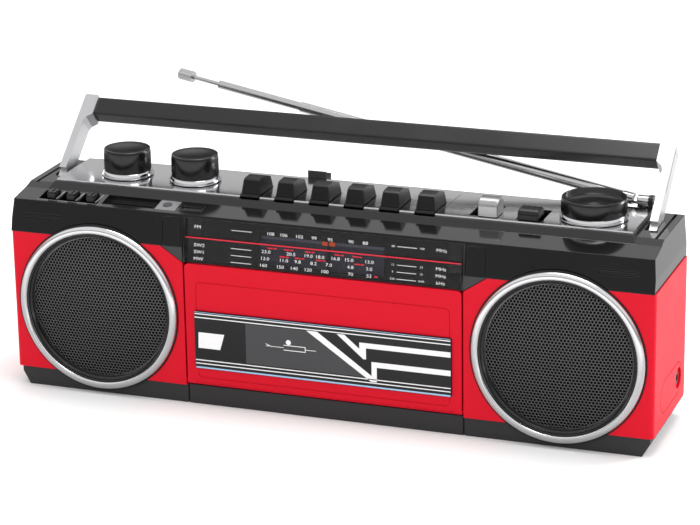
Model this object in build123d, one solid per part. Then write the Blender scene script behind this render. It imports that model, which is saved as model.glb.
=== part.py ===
from build123d import *
import os
from math import cos, radians, sin

# Portable radio-cassette recorder: a red front cabinet, a black upper case with a silver control
# deck, a dark base tray and a black rear cover. Millimetres. X runs along the case, the front
# faces -Y, Z is up, and the origin is the centre of the flat underside.

# ---- driving dimensions ----------------------------------------------------------------
case_length = 372.0          # over the red cabinet
case_depth = 70.0            # front face to rear plate
wall = 2.5                   # moulded case wall
gap = 0.4                    # ordinary clearance between neighbouring parts
shaft_clearance = 0.05       # radial clearance of a pin or shaft in its bore

base_height = 11.2
base_inset = 2.2             # the base stands back from the cabinet all round
base_taper = 4.1             # how far its two ends lean in towards the floor
base_taper_height = 7.5

seam_height = 91.8           # red cabinet to black case
dial_seam_height = 83.4      # the black case dips to here across the dial
ear_outer = 94.0             # the dip runs diagonally out to this half-width
module_half = 80.7           # centre of the dark gap between the three front modules
module_gap = 1.0
band_top = 110.0             # top of the leaning front band
band_lean = 3.6              # how far the band leans back
bevel_back = 18.2            # the glossy strip runs back to here from the front face
bevel_top = 112.5
rim_front = 24.8             # the end rims start here
rim_top = 114.5
rim_groove_margin = 6.4      # case end to the fine groove along each end rim
rim_groove = (1.6, 1.6)      # its width and depth
top_taper = 2.0              # each end leans in by this much at the rim
fine_groove = 0.5            # width of the engraved lines
groove_depth = 0.6
ear_outline_top = 108.0
band_ring = (22.3, 2.7)      # engraved ring near each end of the band
band_ring_z, band_ring_margin = 101.2, 20.6

deck_end_margin = 18.8       # case end to the deck's end
deck_end_slope = 3.2         # the deck's ends slope out by this much
deck_top = 117.2
deck_front = 23.7            # from the front face
deck_rear_margin = 3.0       # rear plate to the deck's rear edge
deck_sheet = 1.0             # thickness of the silver plate

dial_window_half = 79.8
dial_window_top = 108.5
dial_window_thickness = 2.0
dial_scale_half = 71.0       # the pocket behind the window is narrower than the window
dial_scale_thickness = 1.0
dial_air = 3.4               # window to scale
pointer_width, pointer_thickness = 1.6, 1.0
pointer_rest = 3.2

speaker_margin = 52.6        # case end to the speaker's axis
speaker_z = 51.2
ring_outer = 48.1
ring_inner = 43.4
ring_stand = 2.5             # how far the chrome ring stands proud
gasket_thickness = 0.6       # black edging round the chrome ring
gasket_front, gasket_rear = 0.4, 2.6
speaker_hole = 42.0
grille_thickness = 0.8
grille_dome = 2.2
grille_setback = 2.0
basket_radius = 39.0
basket_depth = 18.0
magnet_radius = 21.0
magnet_depth = 9.0
cone_thickness = 0.8

door_bottom = 12.0
door_thickness = 3.2
door_hinge_thickness = 4.0   # the lower edge is thicker and rounded about the hinge
door_window_half = 74.6
door_window_low = 22.6
door_window_high = 56.0
door_window_thickness = 1.5
door_frame_half, door_frame, door_frame_round = 73.8, (16.6, 72.9), 3.0
door_window_stand = 1.2      # how far the clear panel stands proud of the door
trunnion_radius = 1.0
trunnion_length = 2.6

cassette_size = (100.4, 12.0, 63.8)
holder_sheet = 0.8
holder_front = 4.1           # from the front face to the holder's front sheet
hub_spacing = 42.5
hub_from_edge = 29.6         # cassette edge to hub line
chassis_front = 21.0         # front face to the mechanism plate
chassis_thickness = 1.5
chassis_half = 60.0
spindle_radius = 3.0
spindle_reach = 9.7
reel_table_radius = 13.0
spindle_shaft_radius = 1.0
capstan_x, capstan_z = 28.0, 66.0
flywheel_radius = 20.0
flywheel_width = 6.0
motor_x, motor_z = -35.0, 66.0
motor_radius = 15.0
motor_depth = 14.0
pulley_radius = 4.0
pulley_width = 4.0

knob_y = 43.6                # from the front face to the small knobs' axes
volume_x, tone_x = -132.1, -90.6
small_knob_radius = 13.3
small_knob_top = 133.0
small_skirt_radius = 14.7
tuning_x, tuning_y = 141.2, 42.0
tuning_radius = 17.8
tuning_top = 129.3
tuning_skirt_radius = 18.5
skirt_height = 3.0
skirt_lift = 0.4             # the chrome skirts float this far above the deck
small_dish, tuning_dish = 1.0, 3.4
tuning_rim = 1.1             # the tuning knob's top is a thin-walled cup
stem_radius = 3.0
stem_bottom = 103.5

key_names = ["pause_key", "stop_key", "forward_key", "rewind_key", "play_key", "record_key"]
first_key_x = -49.7
key_pitch = 20.32
key_width = 10.8
key_top_width = 8.6
key_front = 24.6
key_slot_front = 22.2
key_rear = 45.1
key_top = 126.6
key_clearance = 0.5
key_rod_radius = 1.5
key_rod_y, key_rod_z = 63.0, 105.5
key_eye_radius = 3.6
key_lever_width = 6.0

slide_slot = (14.6, 21.0)    # along X and Y
slide_slot_front = 26.8
slide_front = 25.8           # the caps overhang the front of their slots
slide_depth = 12.2
slide_stem = (6.0, 8.0)
function_slot_x, function_knob_x, function_width = 83.2, 86.6, 11.0
band_slot_x, band_knob_x, band_width = 109.2, 109.0, 11.6
function_top, band_knob_top = 127.0, 123.0
function_round, band_round = 4.5, 3.4

switch_names = ["sound_switch", "mode_switch", "source_switch"]
switch_margin = 20.5         # case end to the first switch
switch_pitch = 12.0
switch_slot = (9.6, 10.4)
switch_knob = (4.5, 8.0)
switch_offset = 2.2          # knobs rest towards +X in their slots
switch_y = 11.4
switch_top = 114.2

usb_x, usb_y = -79.5, 11.6
usb_shell = (14.3, 6.1)
usb_depth = 13.0
usb_sheet = 0.7
usb_tongue = (11.0, 1.6)
card_recess_x, card_recess_y = -116.0, 12.4
card_recess = (32.0, 11.2)
card_recess_depth = 3.0
card_socket_size = (26.0, 5.0, 10.0)
card_slot_size = (24.2, 2.4)
jack_y, jack_z = 55.0, 26.5
jack_radius = 3.5
jack_bore_radius = 1.8
jack_depth = 14.0
jack_dish_radius, jack_dish_depth = 6.0, 1.3
label_panel_y, label_panel_z = 38.5, 27.0
label_panel = (47.0, 18.5)

arm_margin = 10.5            # case end to the arm's outer face
arm_thickness = 4.3
arm_depth = 11.0
arm_reach = 60.0             # pivot to the handle's top
arm_relief, arm_relief_height = 2.6, 8.6
arm_head = 8.5               # thickness of the head that holds the grip
arm_head_drop = 13.2         # length of the head along the arm
pivot_y, pivot_z = 40.8, 108.0
pivot_radius = 2.0
handle_lean = 49.7           # degrees back from upright, where the handle rests
grip_height, grip_depth = 11.4, 10.7
grip_setback = 1.3
channel_clearance = 0.8      # arm to the channel's outer wall
channel_width = 6.7
channel_front = 37.4
channel_floor = 98.4

bulge_margin = 20.0          # case end to the rear cover's raised part
bulge_depth = 6.0
bulge_bottom = 14.0
bulge_slope = 8.0
antenna_margin = 25.2        # case end to the antenna's knuckle
antenna_setback = 1.0        # rear plate to the antenna's axis
antenna_z = 119.6
antenna_roll = 33.0          # degrees: the plane the antenna folds out in, above level
antenna_fold = 12.6          # degrees the antenna stands out of its clip
knuckle_radius = 3.7
knuckle_length = 6.3
tongue_thickness = 2.5
hinge_pin_radius = 1.0
root_radius = 3.3
root_start, root_end = 5.6, 12.0
tube_radius, middle_radius, tip_radius = 3.0, 2.4, 1.2
tube_end, middle_end, rod_end, cap_end = 218.0, 274.5, 293.0, 302.0
middle_start, rod_start = 74.5, 92.0
cap_radius = 3.3
clip_x = -26.5
clip_width = 11.0
clip_top = 121.3

cell_radius = 13.1           # the bay takes two rows of three C cells
cell_rows = 2
contact_thickness, contact_radius, contact_reach = 0.5, 4.5, 3.2
bay_half = 79.0
bay_bottom, bay_height = 14.5, 55.5
bay_depth = 23.0             # rear plate to the front of the battery bay
battery_door_thickness = 2.0
battery_hinge_radius = 1.2

board_height = 93.0
board_thickness = 1.6
inlet_x, inlet_z = 120.0, 26.0
inlet_size = (21.0, 15.0, 13.0)
transformer_size = (40.0, 24.0, 34.0)
foot_radius = 6.0
foot_thickness = 2.0
screw_radius = 1.5
screw_head_radius = 3.0
screw_margin = 11.0          # case end to the case screws
screw_low, screw_high = 42.0, 84.0

# ---- places worked out from the dimensions ---------------------------------------------
front = -case_depth / 2
rear = case_depth / 2
half = case_length / 2
deck_half = half - deck_end_margin
deck_foot_half = deck_half + deck_end_slope
deck_rear = case_depth - deck_rear_margin
speaker_x = half - speaker_margin
arm_outer = half - arm_margin
channel_outer = arm_outer + channel_clearance
channel_inner = channel_outer - channel_width
bulge_half = half - bulge_margin
antenna_x, antenna_y = half - antenna_margin, case_depth + antenna_setback
bay_front = case_depth - bay_depth
gasket_outer = ring_outer + 0.05 + gasket_thickness
screw_spots = [(side * (half - screw_margin), z) for z in (screw_low, screw_high) for side in (-1, 1)]
opening_half = module_half + module_gap / 2
door_half = module_half - module_gap / 2
door_top = dial_seam_height - gap
hinge_y = front + door_hinge_thickness / 2
hinge_z = door_bottom + door_hinge_thickness / 2
cassette_bottom = door_bottom + 4.3
hub_z = cassette_bottom + hub_from_edge
pivot = (front + pivot_y, pivot_z)
dial_slope = band_lean / (band_top - dial_seam_height)
dial_pocket_depth = dial_window_thickness + dial_air + dial_scale_thickness + 0.1
bezel_depth = wall + 0.7


# ---- small shape helpers ---------------------------------------------------------------
def block(x0, x1, y0, y1, z0, z1):
    return Pos((x0 + x1) / 2, (y0 + y1) / 2, (z0 + z1) / 2) * Box(x1 - x0, y1 - y0, z1 - z0)


def prism_x(points, x0, x1):
    outline = Polyline(*[(x0, y, z) for y, z in points], close=True)
    return extrude(make_face(outline), amount=x1 - x0, dir=(1, 0, 0))


def prism_y(points, y0, y1):
    outline = Polyline(*[(x, y0, z) for x, z in points], close=True)
    return extrude(make_face(outline), amount=y1 - y0, dir=(0, 1, 0))


def rod(start, direction, length, radius):
    return Solid.make_cylinder(radius, length, Plane(origin=start, z_dir=direction))


def tube(start, direction, length, outer, inner):
    return rod(start, direction, length, outer) - rod(start, direction, length, inner)


def mirror_x(shape):
    return mirror(shape, about=Plane.YZ)


# ---- cabinet ----------------------------------------------------------------------------
def make_base_tray():
    x, y = half - base_inset, -front - base_inset
    tray = block(-x, x, -y, y, 0, base_height)
    tray = tray - block(-x + 6, x - 6, -y + 6, y - 6, wall, base_height + 1)
    for side in (-1, 1):
        under = [(side * x, base_taper_height), (side * (x - base_taper), 0),
                 (side * (x - base_taper), -1), (side * (x + 1), -1), (side * (x + 1), base_taper_height)]
        tray = tray - prism_y(under, -y - 1, y + 1)
        x_mid = side * module_half
        tray = tray - block(x_mid - module_gap / 2, x_mid + module_gap / 2, -y - 1, -y + 1.2, -1, 20)
        tray = tray - speaker_notch(side)
    for x_foot, y_foot in foot_spots():
        tray = tray - rod((x_foot, y_foot, 0), (0, 0, 1), foot_thickness, foot_radius)
    return tray


def speaker_notch(side):
    """Room in the base and the upper case for the cabinet's round speaker bezel."""
    depth = 10 + bezel_depth + 2.2
    return rod((side * speaker_x, front - 10, speaker_z), (0, 1, 0), depth, gasket_outer + gap)


def foot_spots():
    return [(x, y) for x in (-half + 30, half - 30) for y in (-22, 22)]


def make_feet():
    return Compound(children=[rod((x, y, 0), (0, 0, 1), foot_thickness, foot_radius - 0.05)
                              for x, y in foot_spots()])


def make_front_cabinet():
    outer = block(-half, half, front, rear - 2, base_height, seam_height)
    outer = fillet(outer.edges().filter_by(Axis.Z).group_by(Axis.Y)[0], 3.0)
    shell = outer - block(-half + wall, half - wall, front + wall + 0.7, rear, 0, 100)
    # the dip for the dial and its diagonal ears
    dip = [(-ear_outer - gap, seam_height + 1), (-ear_outer - gap, seam_height),
           (-opening_half, dial_seam_height - gap), (opening_half, dial_seam_height - gap),
           (ear_outer + gap, seam_height), (ear_outer + gap, seam_height + 1)]
    shell = shell - prism_y(dip, front - 1, front + 6)
    # door opening and the side walls of the cassette well
    well_back = front + chassis_front - gap
    well_top = dial_seam_height - gap
    shell = shell - block(-opening_half, opening_half, front - 1, front + 6, base_height - 1, well_top + 2)
    for side in (-1, 1):
        x0, x1 = sorted((side * opening_half, side * (opening_half + wall)))
        shell = shell + block(x0, x1, front, well_back, base_height, well_top - 1)
    sill = block(-opening_half - 1, opening_half + 1, front + 6.5, well_back, base_height, base_height + 1.5)
    lintel = block(-opening_half - 1, opening_half + 1, well_back - 2, well_back,
                   well_top - 3, well_top - 1)
    shell = shell + sill + lintel
    # speaker openings, the bosses for the case screws, hinge bores and the side socket
    for side in (-1, 1):
        shell = shell + rod((side * speaker_x, front, speaker_z), (0, 1, 0), bezel_depth, ring_outer)
        shell = shell - rod((side * speaker_x, front - 1, speaker_z), (0, 1, 0), 6, speaker_hole)
        shell = shell - tube((side * speaker_x, front - 1, speaker_z), (0, 1, 0), gasket_rear + 1.05,
                             gasket_outer + 0.05, ring_outer)
        bore_x = side * (opening_half - 1)
        shell = shell - rod((bore_x, hinge_y, hinge_z), (side, 0, 0), trunnion_length + 1.5,
                            trunnion_radius + shaft_clearance)
    for x, z in screw_spots:
        side = 1 if x > 0 else -1
        x0, x1 = sorted((x - side * 3.5, side * (half - wall / 2)))
        shell = shell + block(x0, x1, rear - 18, rear - 2, z - 3.5, z + 3.5)
        shell = shell - rod((x, rear - 16, z), (0, 1, 0), 20, screw_radius)
    shell = shell - label_recess()
    shell = shell - rod((half - jack_dish_depth, front + jack_y, jack_z), (1, 0, 0), 2, jack_dish_radius)
    return shell - rod((half - wall - 1, front + jack_y, jack_z), (1, 0, 0), 8, jack_radius + 0.05)


def label_recess():
    """The engraved outline of the label panel on the right-hand end."""
    length, height = label_panel
    outline = SlotOverall(length, height) - SlotOverall(length - 2 * fine_groove, height - 2 * fine_groove)
    plane = Plane(origin=(half - groove_depth, front + label_panel_y, label_panel_z), x_dir=(0, 1, 0),
                  z_dir=(1, 0, 0))
    return extrude(plane * outline, amount=groove_depth + 1, dir=(1, 0, 0))


def upper_profile():
    return [(front, seam_height), (front + band_lean, band_top), (front + bevel_back, bevel_top),
            (front + rim_front, rim_top), (rear, rim_top), (rear, seam_height)]


def deck_profile(top):
    slope = (deck_front - bevel_back) / (deck_top - bevel_top)
    y_top = front + bevel_back + slope * (top - bevel_top)
    return [(front + bevel_back, bevel_top - 6), (front + bevel_back, bevel_top), (y_top, top),
            (front + deck_rear, top), (front + deck_rear, bevel_top - 6)]


def channel_profile():
    # the floor behind the pivot is a ramp that the leaning arm rests against
    lean = radians(handle_lean)
    along = (sin(lean), cos(lean))
    offset = arm_depth / 2 + gap
    foot = (pivot[0] + offset * cos(lean), pivot[1] - offset * sin(lean))
    low = (foot[0] - along[0] * (foot[1] - channel_floor) / along[1], channel_floor)
    reach = (rim_top + 6 - foot[1]) / along[1]
    high = (foot[0] + along[0] * reach, foot[1] + along[1] * reach)
    y0, y1 = front + channel_front, channel_low_front()
    return [(y0, rim_top + 6), (y0, rim_top - 3), (y1, rim_top - 6), (y1, channel_floor), low, high]


def channel_low_front():
    """The channel is deeper below its lip, to clear the arm's round foot."""
    return pivot[0] - arm_depth / 2 - gap


def make_upper_case():
    band_half = half - 0.6
    lean = prism_x(upper_profile(), -band_half, band_half)
    tab = [(-ear_outer, seam_height + 0.1), (-opening_half, dial_seam_height),
           (opening_half, dial_seam_height), (ear_outer, seam_height + 0.1)]
    deck = prism_x(deck_profile(deck_top - deck_sheet), -deck_foot_half, deck_foot_half)
    for side in (-1, 1):
        slope = [(side * deck_half, deck_top), (side * deck_foot_half, bevel_top), (side * half, bevel_top),
                 (side * half, deck_top)]
        deck = deck - prism_y(slope, front, rear)
    case = lean + prism_y(tab, front, front + 4) + deck
    # ends taper in slightly towards the top
    for side in (-1, 1):
        wedge = [(side * half, seam_height), (side * half, rim_top), (side * (half - top_taper), rim_top)]
        case = case - prism_y(wedge, front - 5, rear + 5)
    # hollow inside
    roof = 2.2
    inside = [(front + 3.0, seam_height - 1), (front + band_lean + 3.2, band_top - roof - 0.6),
              (front + bevel_back + 2, bevel_top - roof), (front + rim_front + 2, bevel_top - roof),
              (rear - wall, bevel_top - roof), (rear - wall, seam_height - 1)]
    case = case - prism_x(inside, -half + 4.6, half - 4.6)
    deck_void = [(y + 2.6 if y < 0 else y - 2, z) for y, z in deck_profile(deck_top - deck_sheet - roof)]
    case = case - prism_x(deck_void, -deck_half + 2, deck_half - 2)
    # handle channels with their own walls
    for side in (-1, 1):
        x0, x1 = sorted((side * (channel_inner - 2), side * (channel_outer + 2)))
        liner = block(x0, x1, channel_low_front() - 1.5, rear, channel_floor - 2, bevel_top - 1)
        case = case + liner
        x0, x1 = sorted((side * channel_inner, side * channel_outer))
        case = case - prism_x(channel_profile(), x0, x1)
        case = case - rod((side * (channel_inner - 1.8), *pivot), (side, 0, 0),
                          channel_outer - channel_inner + 3.4, pivot_radius)
        width, depth = rim_groove
        groove_x = side * (half - rim_groove_margin)
        case = case - block(groove_x - width / 2, groove_x + width / 2,
                            front + rim_front - 1, rear - 1, rim_top - depth, rim_top + 2)
        case = case - speaker_notch(side)
    # seat for the dial window, and the narrower pocket behind it
    case = case + dial_slab(1.5, dial_pocket_depth, dial_scale_half + 1.2, 0.0)
    case = case - dial_slab(-2.0, dial_window_thickness + 2.0, dial_window_half, 0.0)
    case = case - dial_slab(0.0, dial_pocket_depth, dial_scale_half + 0.1, 1.2)
    # dark gaps between the three front modules
    for side in (-1, 1):
        groove = block(side * module_half - module_gap / 2, side * module_half + module_gap / 2,
                       front - 1, front + bevel_back, dial_seam_height - 1, dial_window_top)
        groove = groove + ear_outline(side) + band_slot_outline(side)
        case = case - (groove - lean_inside())
    case = case - deck_cuts(deck_top + 1)
    # control openings in the bevel
    for x in switch_places():
        width, depth = switch_slot
        case = case - block(x - width / 2, x + width / 2, front + switch_y - depth / 2,
                            front + switch_y + depth / 2, 105, 113.5)
    width, depth = usb_shell
    case = case - block(usb_x - width / 2, usb_x + width / 2, front + usb_y - depth / 2,
                        front + usb_y + depth / 2, 100, 115)
    width, depth = card_recess
    floor = bevel_top - card_recess_depth
    case = case + block(card_recess_x - width / 2 - 1.5, card_recess_x + width / 2 + 1.5,
                        front + card_recess_y - depth / 2 - 1.5, front + card_recess_y + depth / 2 + 1.5,
                        floor - 1.5, floor + 0.4)
    case = case - block(card_recess_x - width / 2, card_recess_x + width / 2,
                        front + card_recess_y - depth / 2, front + card_recess_y + depth / 2,
                        floor, 115)
    width, depth, _ = card_socket_size
    return case - block(card_recess_x - width / 2 - 0.1, card_recess_x + width / 2 + 0.1,
                        front + card_recess_y - depth / 2 - 0.1, front + card_recess_y + depth / 2 + 0.1,
                        100, 115)


def lean_inside():
    """The band's body below the reach of its engraved grooves."""
    inner = [(front + groove_depth, 0), (front + groove_depth, dial_seam_height),
             (front + band_lean + groove_depth, band_top), (front + 30, band_top), (front + 30, 0)]
    return prism_x(inner, -half, half)


def ear_outline(side):
    """The groove round the panel beside the dial: up its outer edge and along its top."""
    low, high = seam_height + 1.0, ear_outline_top
    inner, outer = module_half + 1.4, ear_outer - 0.6
    depth = front + band_lean + 2
    frame = block(inner, outer, front - 1, depth, low, high)
    frame = fillet(frame.edges().filter_by(Axis.Y).group_by(Axis.Z)[-1], 1.8)
    core = block(inner + fine_groove, outer - fine_groove, front - 2, depth + 1, low - 1, high - fine_groove)
    core = fillet(core.edges().filter_by(Axis.Y).group_by(Axis.Z)[-1], 1.3)
    frame = frame - core
    return frame if side > 0 else mirror_x(frame)


def band_slot_outline(side):
    """The long engraved ring near each end of the band."""
    length, height = band_ring
    plane = Plane(origin=(side * (half - band_ring_margin), front - 1, band_ring_z), x_dir=(1, 0, 0),
                  z_dir=(0, 1, 0))
    ring = SlotOverall(length, height) - SlotOverall(length - 2 * fine_groove, height - 2 * fine_groove)
    return extrude(plane * ring, amount=band_lean + 3, dir=(0, 1, 0))


def switch_places():
    """Centres of the three switch slots."""
    return [-half + switch_margin + i * switch_pitch for i in range(len(switch_names))]


def key_places():
    return [first_key_x + i * key_pitch for i in range(len(key_names))]


def deck_cuts(top):
    """Everything that passes through the deck: key slots, slide slots and knob holes."""
    cuts = []
    for x in key_places():
        w = key_width / 2 + key_clearance
        cuts.append(block(x - w, x + w, front + key_slot_front, front + key_rear + key_clearance,
                          bevel_top - 1.5, top))
    for x in (function_slot_x, band_slot_x):
        length, depth = slide_slot
        cuts.append(block(x - length / 2, x + length / 2, front + slide_slot_front,
                          front + slide_slot_front + depth, deck_top - 4, top))
    for x, y in ((volume_x, knob_y), (tone_x, knob_y), (tuning_x, tuning_y)):
        cuts.append(rod((x, front + y, deck_top - 5), (0, 0, 1), top - deck_top + 5, stem_radius + 1))
    return Compound(children=cuts)


def make_deck_plate():
    y0 = front + deck_front
    plate = block(-deck_half, deck_half, y0, front + deck_rear, deck_top - deck_sheet, deck_top)
    plate = chamfer(plate.edges().filter_by(Axis.X).group_by(Axis.Y)[0].sort_by(Axis.Z)[-1], 0.5)
    return plate - deck_cuts(deck_top + 1)


def dial_slab(setback, thickness, half_width, margin):
    """A plate along the leaning dial front: its face is set back, and each edge keeps a margin."""
    bottom, top = dial_seam_height + margin, dial_window_top - margin
    y_low = front + setback + dial_slope * margin
    y_high = y_low + dial_slope * (top - bottom)
    section = [(y_low, bottom), (y_high, top), (y_high + thickness, top), (y_low + thickness, bottom)]
    return prism_x(section, -half_width, half_width)


def make_dial_window():
    return dial_slab(0, dial_window_thickness, dial_window_half - 0.1, 0.1)


def make_dial_scale():
    setback = dial_window_thickness + dial_air
    return dial_slab(setback, dial_scale_thickness, dial_scale_half, 1.3)


def make_dial_pointer():
    setback = dial_window_thickness + (dial_air - pointer_thickness) / 2
    return Pos(pointer_rest, 0, 0) * dial_slab(setback, pointer_thickness, pointer_width / 2, 2.2)


def make_rear_cover():
    plate = block(-half + 0.2, half - 0.2, rear - 2 + gap / 2, rear, base_height + 0.3, seam_height - 0.3)
    bulge_y = rear + bulge_depth
    outer = [(rear - 1.5, bulge_bottom - 2), (rear, bulge_bottom - 2), (bulge_y, bulge_bottom + bulge_slope),
             (bulge_y, rim_top), (rear + 0.1, rim_top), (rear + 0.1, seam_height - 0.3),
             (rear - 1.5, seam_height - 0.3)]
    cover = plate + prism_x(outer, -bulge_half, bulge_half)
    inner = [(rear - 5, bulge_bottom), (rear, bulge_bottom), (bulge_y - 2, bulge_bottom + bulge_slope),
             (bulge_y - 2, rim_top - 2), (rear + 2.1, rim_top - 2), (rear + 2.1, seam_height - 2.3),
             (rear - 5, seam_height - 2.3)]
    cover = cover - prism_x(inner, -bulge_half + 2, bulge_half - 2)
    # battery bay: a box open to the rear
    bay_top = bay_bottom + bay_height
    bay = block(-bay_half - 1.5, bay_half + 1.5, front + bay_front - 1.5, bulge_y - 1, bay_bottom - 1.5 + 1.2,
                bay_top + 1.5)
    cover = cover + (bay - block(-half, half, bulge_y - 2, bulge_y + 5, 0, 100))
    cover = cover - block(-bay_half, bay_half, front + bay_front, bulge_y + 1, bay_bottom + 1.4, bay_top)
    door_low = bay_bottom + bulge_slope
    cover = cover + block(-bay_half, bay_half, bulge_y - 6, bulge_y, bay_bottom - 0.3, door_low - 0.5)
    for side in (-1, 1):
        cover = cover - rod((side * (bay_half - 2), battery_hinge()[0], battery_hinge()[1]), (side, 0, 0),
                            5, battery_hinge_radius + shaft_clearance)
    # screw holes, mains inlet, speaker vents and the antenna clip
    for x, z in screw_spots:
        cover = cover - rod((x, rear - 5, z), (0, 1, 0), 10, screw_radius + 0.1)
    width, _, height = inlet_size
    cover = cover - block(inlet_x - width / 2, inlet_x + width / 2, 0, bulge_y + 1,
                          inlet_z - height / 2, inlet_z + height / 2)
    for side in (-1, 1):
        for row in range(8):
            z = 38 + row * 5.5
            x0, x1 = sorted((side * 100, side * 152))
            cover = cover - block(x0, x1, bulge_y - 3, bulge_y + 1, z, z + 1.8)
    return cover + make_clip()


def battery_hinge():
    return rear + bulge_depth - battery_door_thickness / 2 - 0.4, bay_bottom + bulge_slope + 1.6


def make_clip():
    y = front + antenna_y
    x0, x1 = clip_x - clip_width / 2, clip_x + clip_width / 2
    clip = block(x0, x1, y - 3.6, y + 4.5, rim_top, clip_top)
    clip = clip + block(x0, x1, rear + 0.2, y + 4.5, rim_top - 1, clip_top)
    groove = rod((clip_x - clip_width, y, antenna_z), (1, 0, 0), 2 * clip_width, tube_radius + 0.3)
    mouth = block(-clip_width, clip_width, 0, 20, -tube_radius - 0.3, tube_radius + 0.3)
    mouth = Pos(clip_x, y, antenna_z) * Rot(X=antenna_roll) * mouth
    return clip - groove - mouth


def make_battery_door():
    y1 = rear + bulge_depth
    y0 = y1 - battery_door_thickness
    low, high = bay_bottom + bulge_slope, bay_bottom + bay_height
    x = bay_half - gap
    door = block(-x, x, y0, y1, low + 1.6, high - gap)
    door = door + rod((-x, *battery_hinge()), (1, 0, 0), 2 * x, battery_door_thickness / 2)
    for side in (-1, 1):
        door = door + rod((side * (x - 1), *battery_hinge()), (side, 0, 0), 2.4, battery_hinge_radius)
    ribs = [block(-20, 20, y1 - 0.8, y1 + 0.4, high - 4 - 2 * i, high - 3 - 2 * i) for i in range(3)]
    for rib in ribs:
        door = door + rib
    return door


def make_battery_contacts():
    """A sprung contact at each end of both rows of cells."""
    contacts = []
    y = rear + bulge_depth - battery_door_thickness - cell_radius - 0.6
    for row in range(cell_rows):
        z = bay_bottom + 1.4 + cell_radius + 0.4 + row * (2 * cell_radius + 0.4)
        for side in (-1, 1):
            x0, x1 = sorted((side * (bay_half - 0.05), side * (bay_half - contact_thickness)))
            plate = block(x0, x1, y - 6, y + 6, z - 6, z + 6)
            start = Plane(origin=(side * (bay_half - contact_thickness + 0.05), y, z), z_dir=(-side, 0, 0))
            spring = Solid.make_cone(contact_radius, contact_radius - 1.8, contact_reach, start)
            contacts.append(plate + spring)
    return Compound(children=contacts)


# ---- cassette door and holder --------------------------------------------------------------
def make_cassette_door():
    y1 = front + door_thickness
    panel = block(-door_half, door_half, front, y1, hinge_z, door_top)
    panel = fillet(panel.edges().filter_by(Axis.Y).group_by(Axis.Z)[-1], 2.5)
    hinge = rod((-door_half, hinge_y, hinge_z), (1, 0, 0), 2 * door_half, door_hinge_thickness / 2)
    foot = block(-door_half, door_half, front, front + door_hinge_thickness, hinge_z, hinge_z + 3)
    door = panel + hinge + foot
    seat = block(-door_window_half - 0.1, door_window_half + 0.1, front - 1,
                 front + door_window_thickness - door_window_stand, door_window_low - 0.1,
                 door_window_high + 0.1)
    view = block(-46, 46, front - 1, y1 + 1, door_window_low + 4, door_window_high - 4)
    door = door - seat - view - door_outline()
    for side in (-1, 1):
        door = door + rod((side * (door_half - 1), hinge_y, hinge_z), (side, 0, 0),
                          1 + module_gap + trunnion_length - 0.6, trunnion_radius)
    # the finger ridge along the lower edge
    ridge = prism_x([(front, hinge_z + 1.2), (front - 0.8, hinge_z + 0.2), (front, hinge_z - 0.8)],
                    -75, 75)
    return door + ridge


def door_outline():
    """The fine engraved frame on the face of the door."""
    x = door_frame_half
    low, high = door_frame
    frame = block(-x, x, front - 1, front + groove_depth / 2, low, high)
    frame = fillet(frame.edges().filter_by(Axis.Y), door_frame_round)
    x = x - fine_groove
    core = block(-x, x, front - 2, front + 1, low + fine_groove, high - fine_groove)
    return frame - fillet(core.edges().filter_by(Axis.Y), door_frame_round - fine_groove)


def make_door_window():
    y0 = front - door_window_stand
    pane = block(-door_window_half, door_window_half, y0, y0 + door_window_thickness,
                 door_window_low, door_window_high)
    return fillet(pane.edges().filter_by(Axis.Y), 1.2)


def make_cassette_holder():
    length, depth, height = cassette_size
    x = length / 2 + 0.6 + holder_sheet
    y0 = front + holder_front
    y1 = y0 + depth + 1.0 + 2 * holder_sheet
    z0, z1 = cassette_bottom - holder_sheet - 0.2, cassette_bottom + height - 2
    sheet = block(-x, x, y0, y0 + holder_sheet, z0, z1)
    sheet = sheet - block(-44, 44, y0 - 1, y0 + 2, door_window_low + 4, door_window_high - 4)
    holder = sheet + block(-x, x, y0, y1, z0, z0 + holder_sheet)
    for side in (-1, 1):
        x0, x1 = sorted((side * x, side * (x - holder_sheet)))
        holder = holder + block(x0, x1, y0, y1, z0, z1)
        x0, x1 = sorted((side * x, side * (x - 5)))
        holder = holder + block(x0, x1, y1 - holder_sheet, y1, z0, z1)
        x0, x1 = sorted((side * (x - 8), side * (x - 2)))
        pad_front = front + door_thickness
        for z in (z0 + 6, z1 - 10):
            holder = holder + block(x0, x1, pad_front, y0 + 0.1, z, z + 6)
    return holder


# ---- tape mechanism ---------------------------------------------------------------------------
def make_tape_chassis():
    y0 = front + chassis_front
    y1 = y0 + chassis_thickness
    plate = block(-chassis_half, chassis_half, y0, y1, base_height + wall + 0.5, dial_seam_height - 4)
    for x in (-hub_spacing / 2, hub_spacing / 2):
        plate = plate - rod((x, y0 - 1, hub_z), (0, 1, 0), 5, spindle_shaft_radius + shaft_clearance)
    plate = plate - rod((capstan_x, y0 - 1, capstan_z), (0, 1, 0), 5, spindle_shaft_radius + shaft_clearance)
    # side cheeks, spot-welded to the plate, carry the key rod
    cheeks = []
    y_front, y_rear = front + key_rod_y - 4, front + key_rod_y + 4
    cheek = [(y0, 70), (y0, 84), (y_front, key_rod_z + 4), (y_rear, key_rod_z + 4), (y_rear, key_rod_z - 4),
             (y0 + 12, 70)]
    for side in (-1, 1):
        x0, x1 = sorted((side * chassis_half, side * (chassis_half + 1.5)))
        hole = rod((x0 - 1, front + key_rod_y, key_rod_z), (1, 0, 0), 4, key_rod_radius)
        cheeks.append(prism_x(cheek, x0, x1) - hole)
    head = block(-6, 6, y0 - 8, y0 - 0.05, hub_z + 24, hub_z + 31)
    key_rod = rod((-chassis_half - 1.5, front + key_rod_y, key_rod_z), (1, 0, 0), 2 * chassis_half + 3,
                  key_rod_radius)
    return Compound(children=[plate, head, key_rod] + cheeks)


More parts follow.
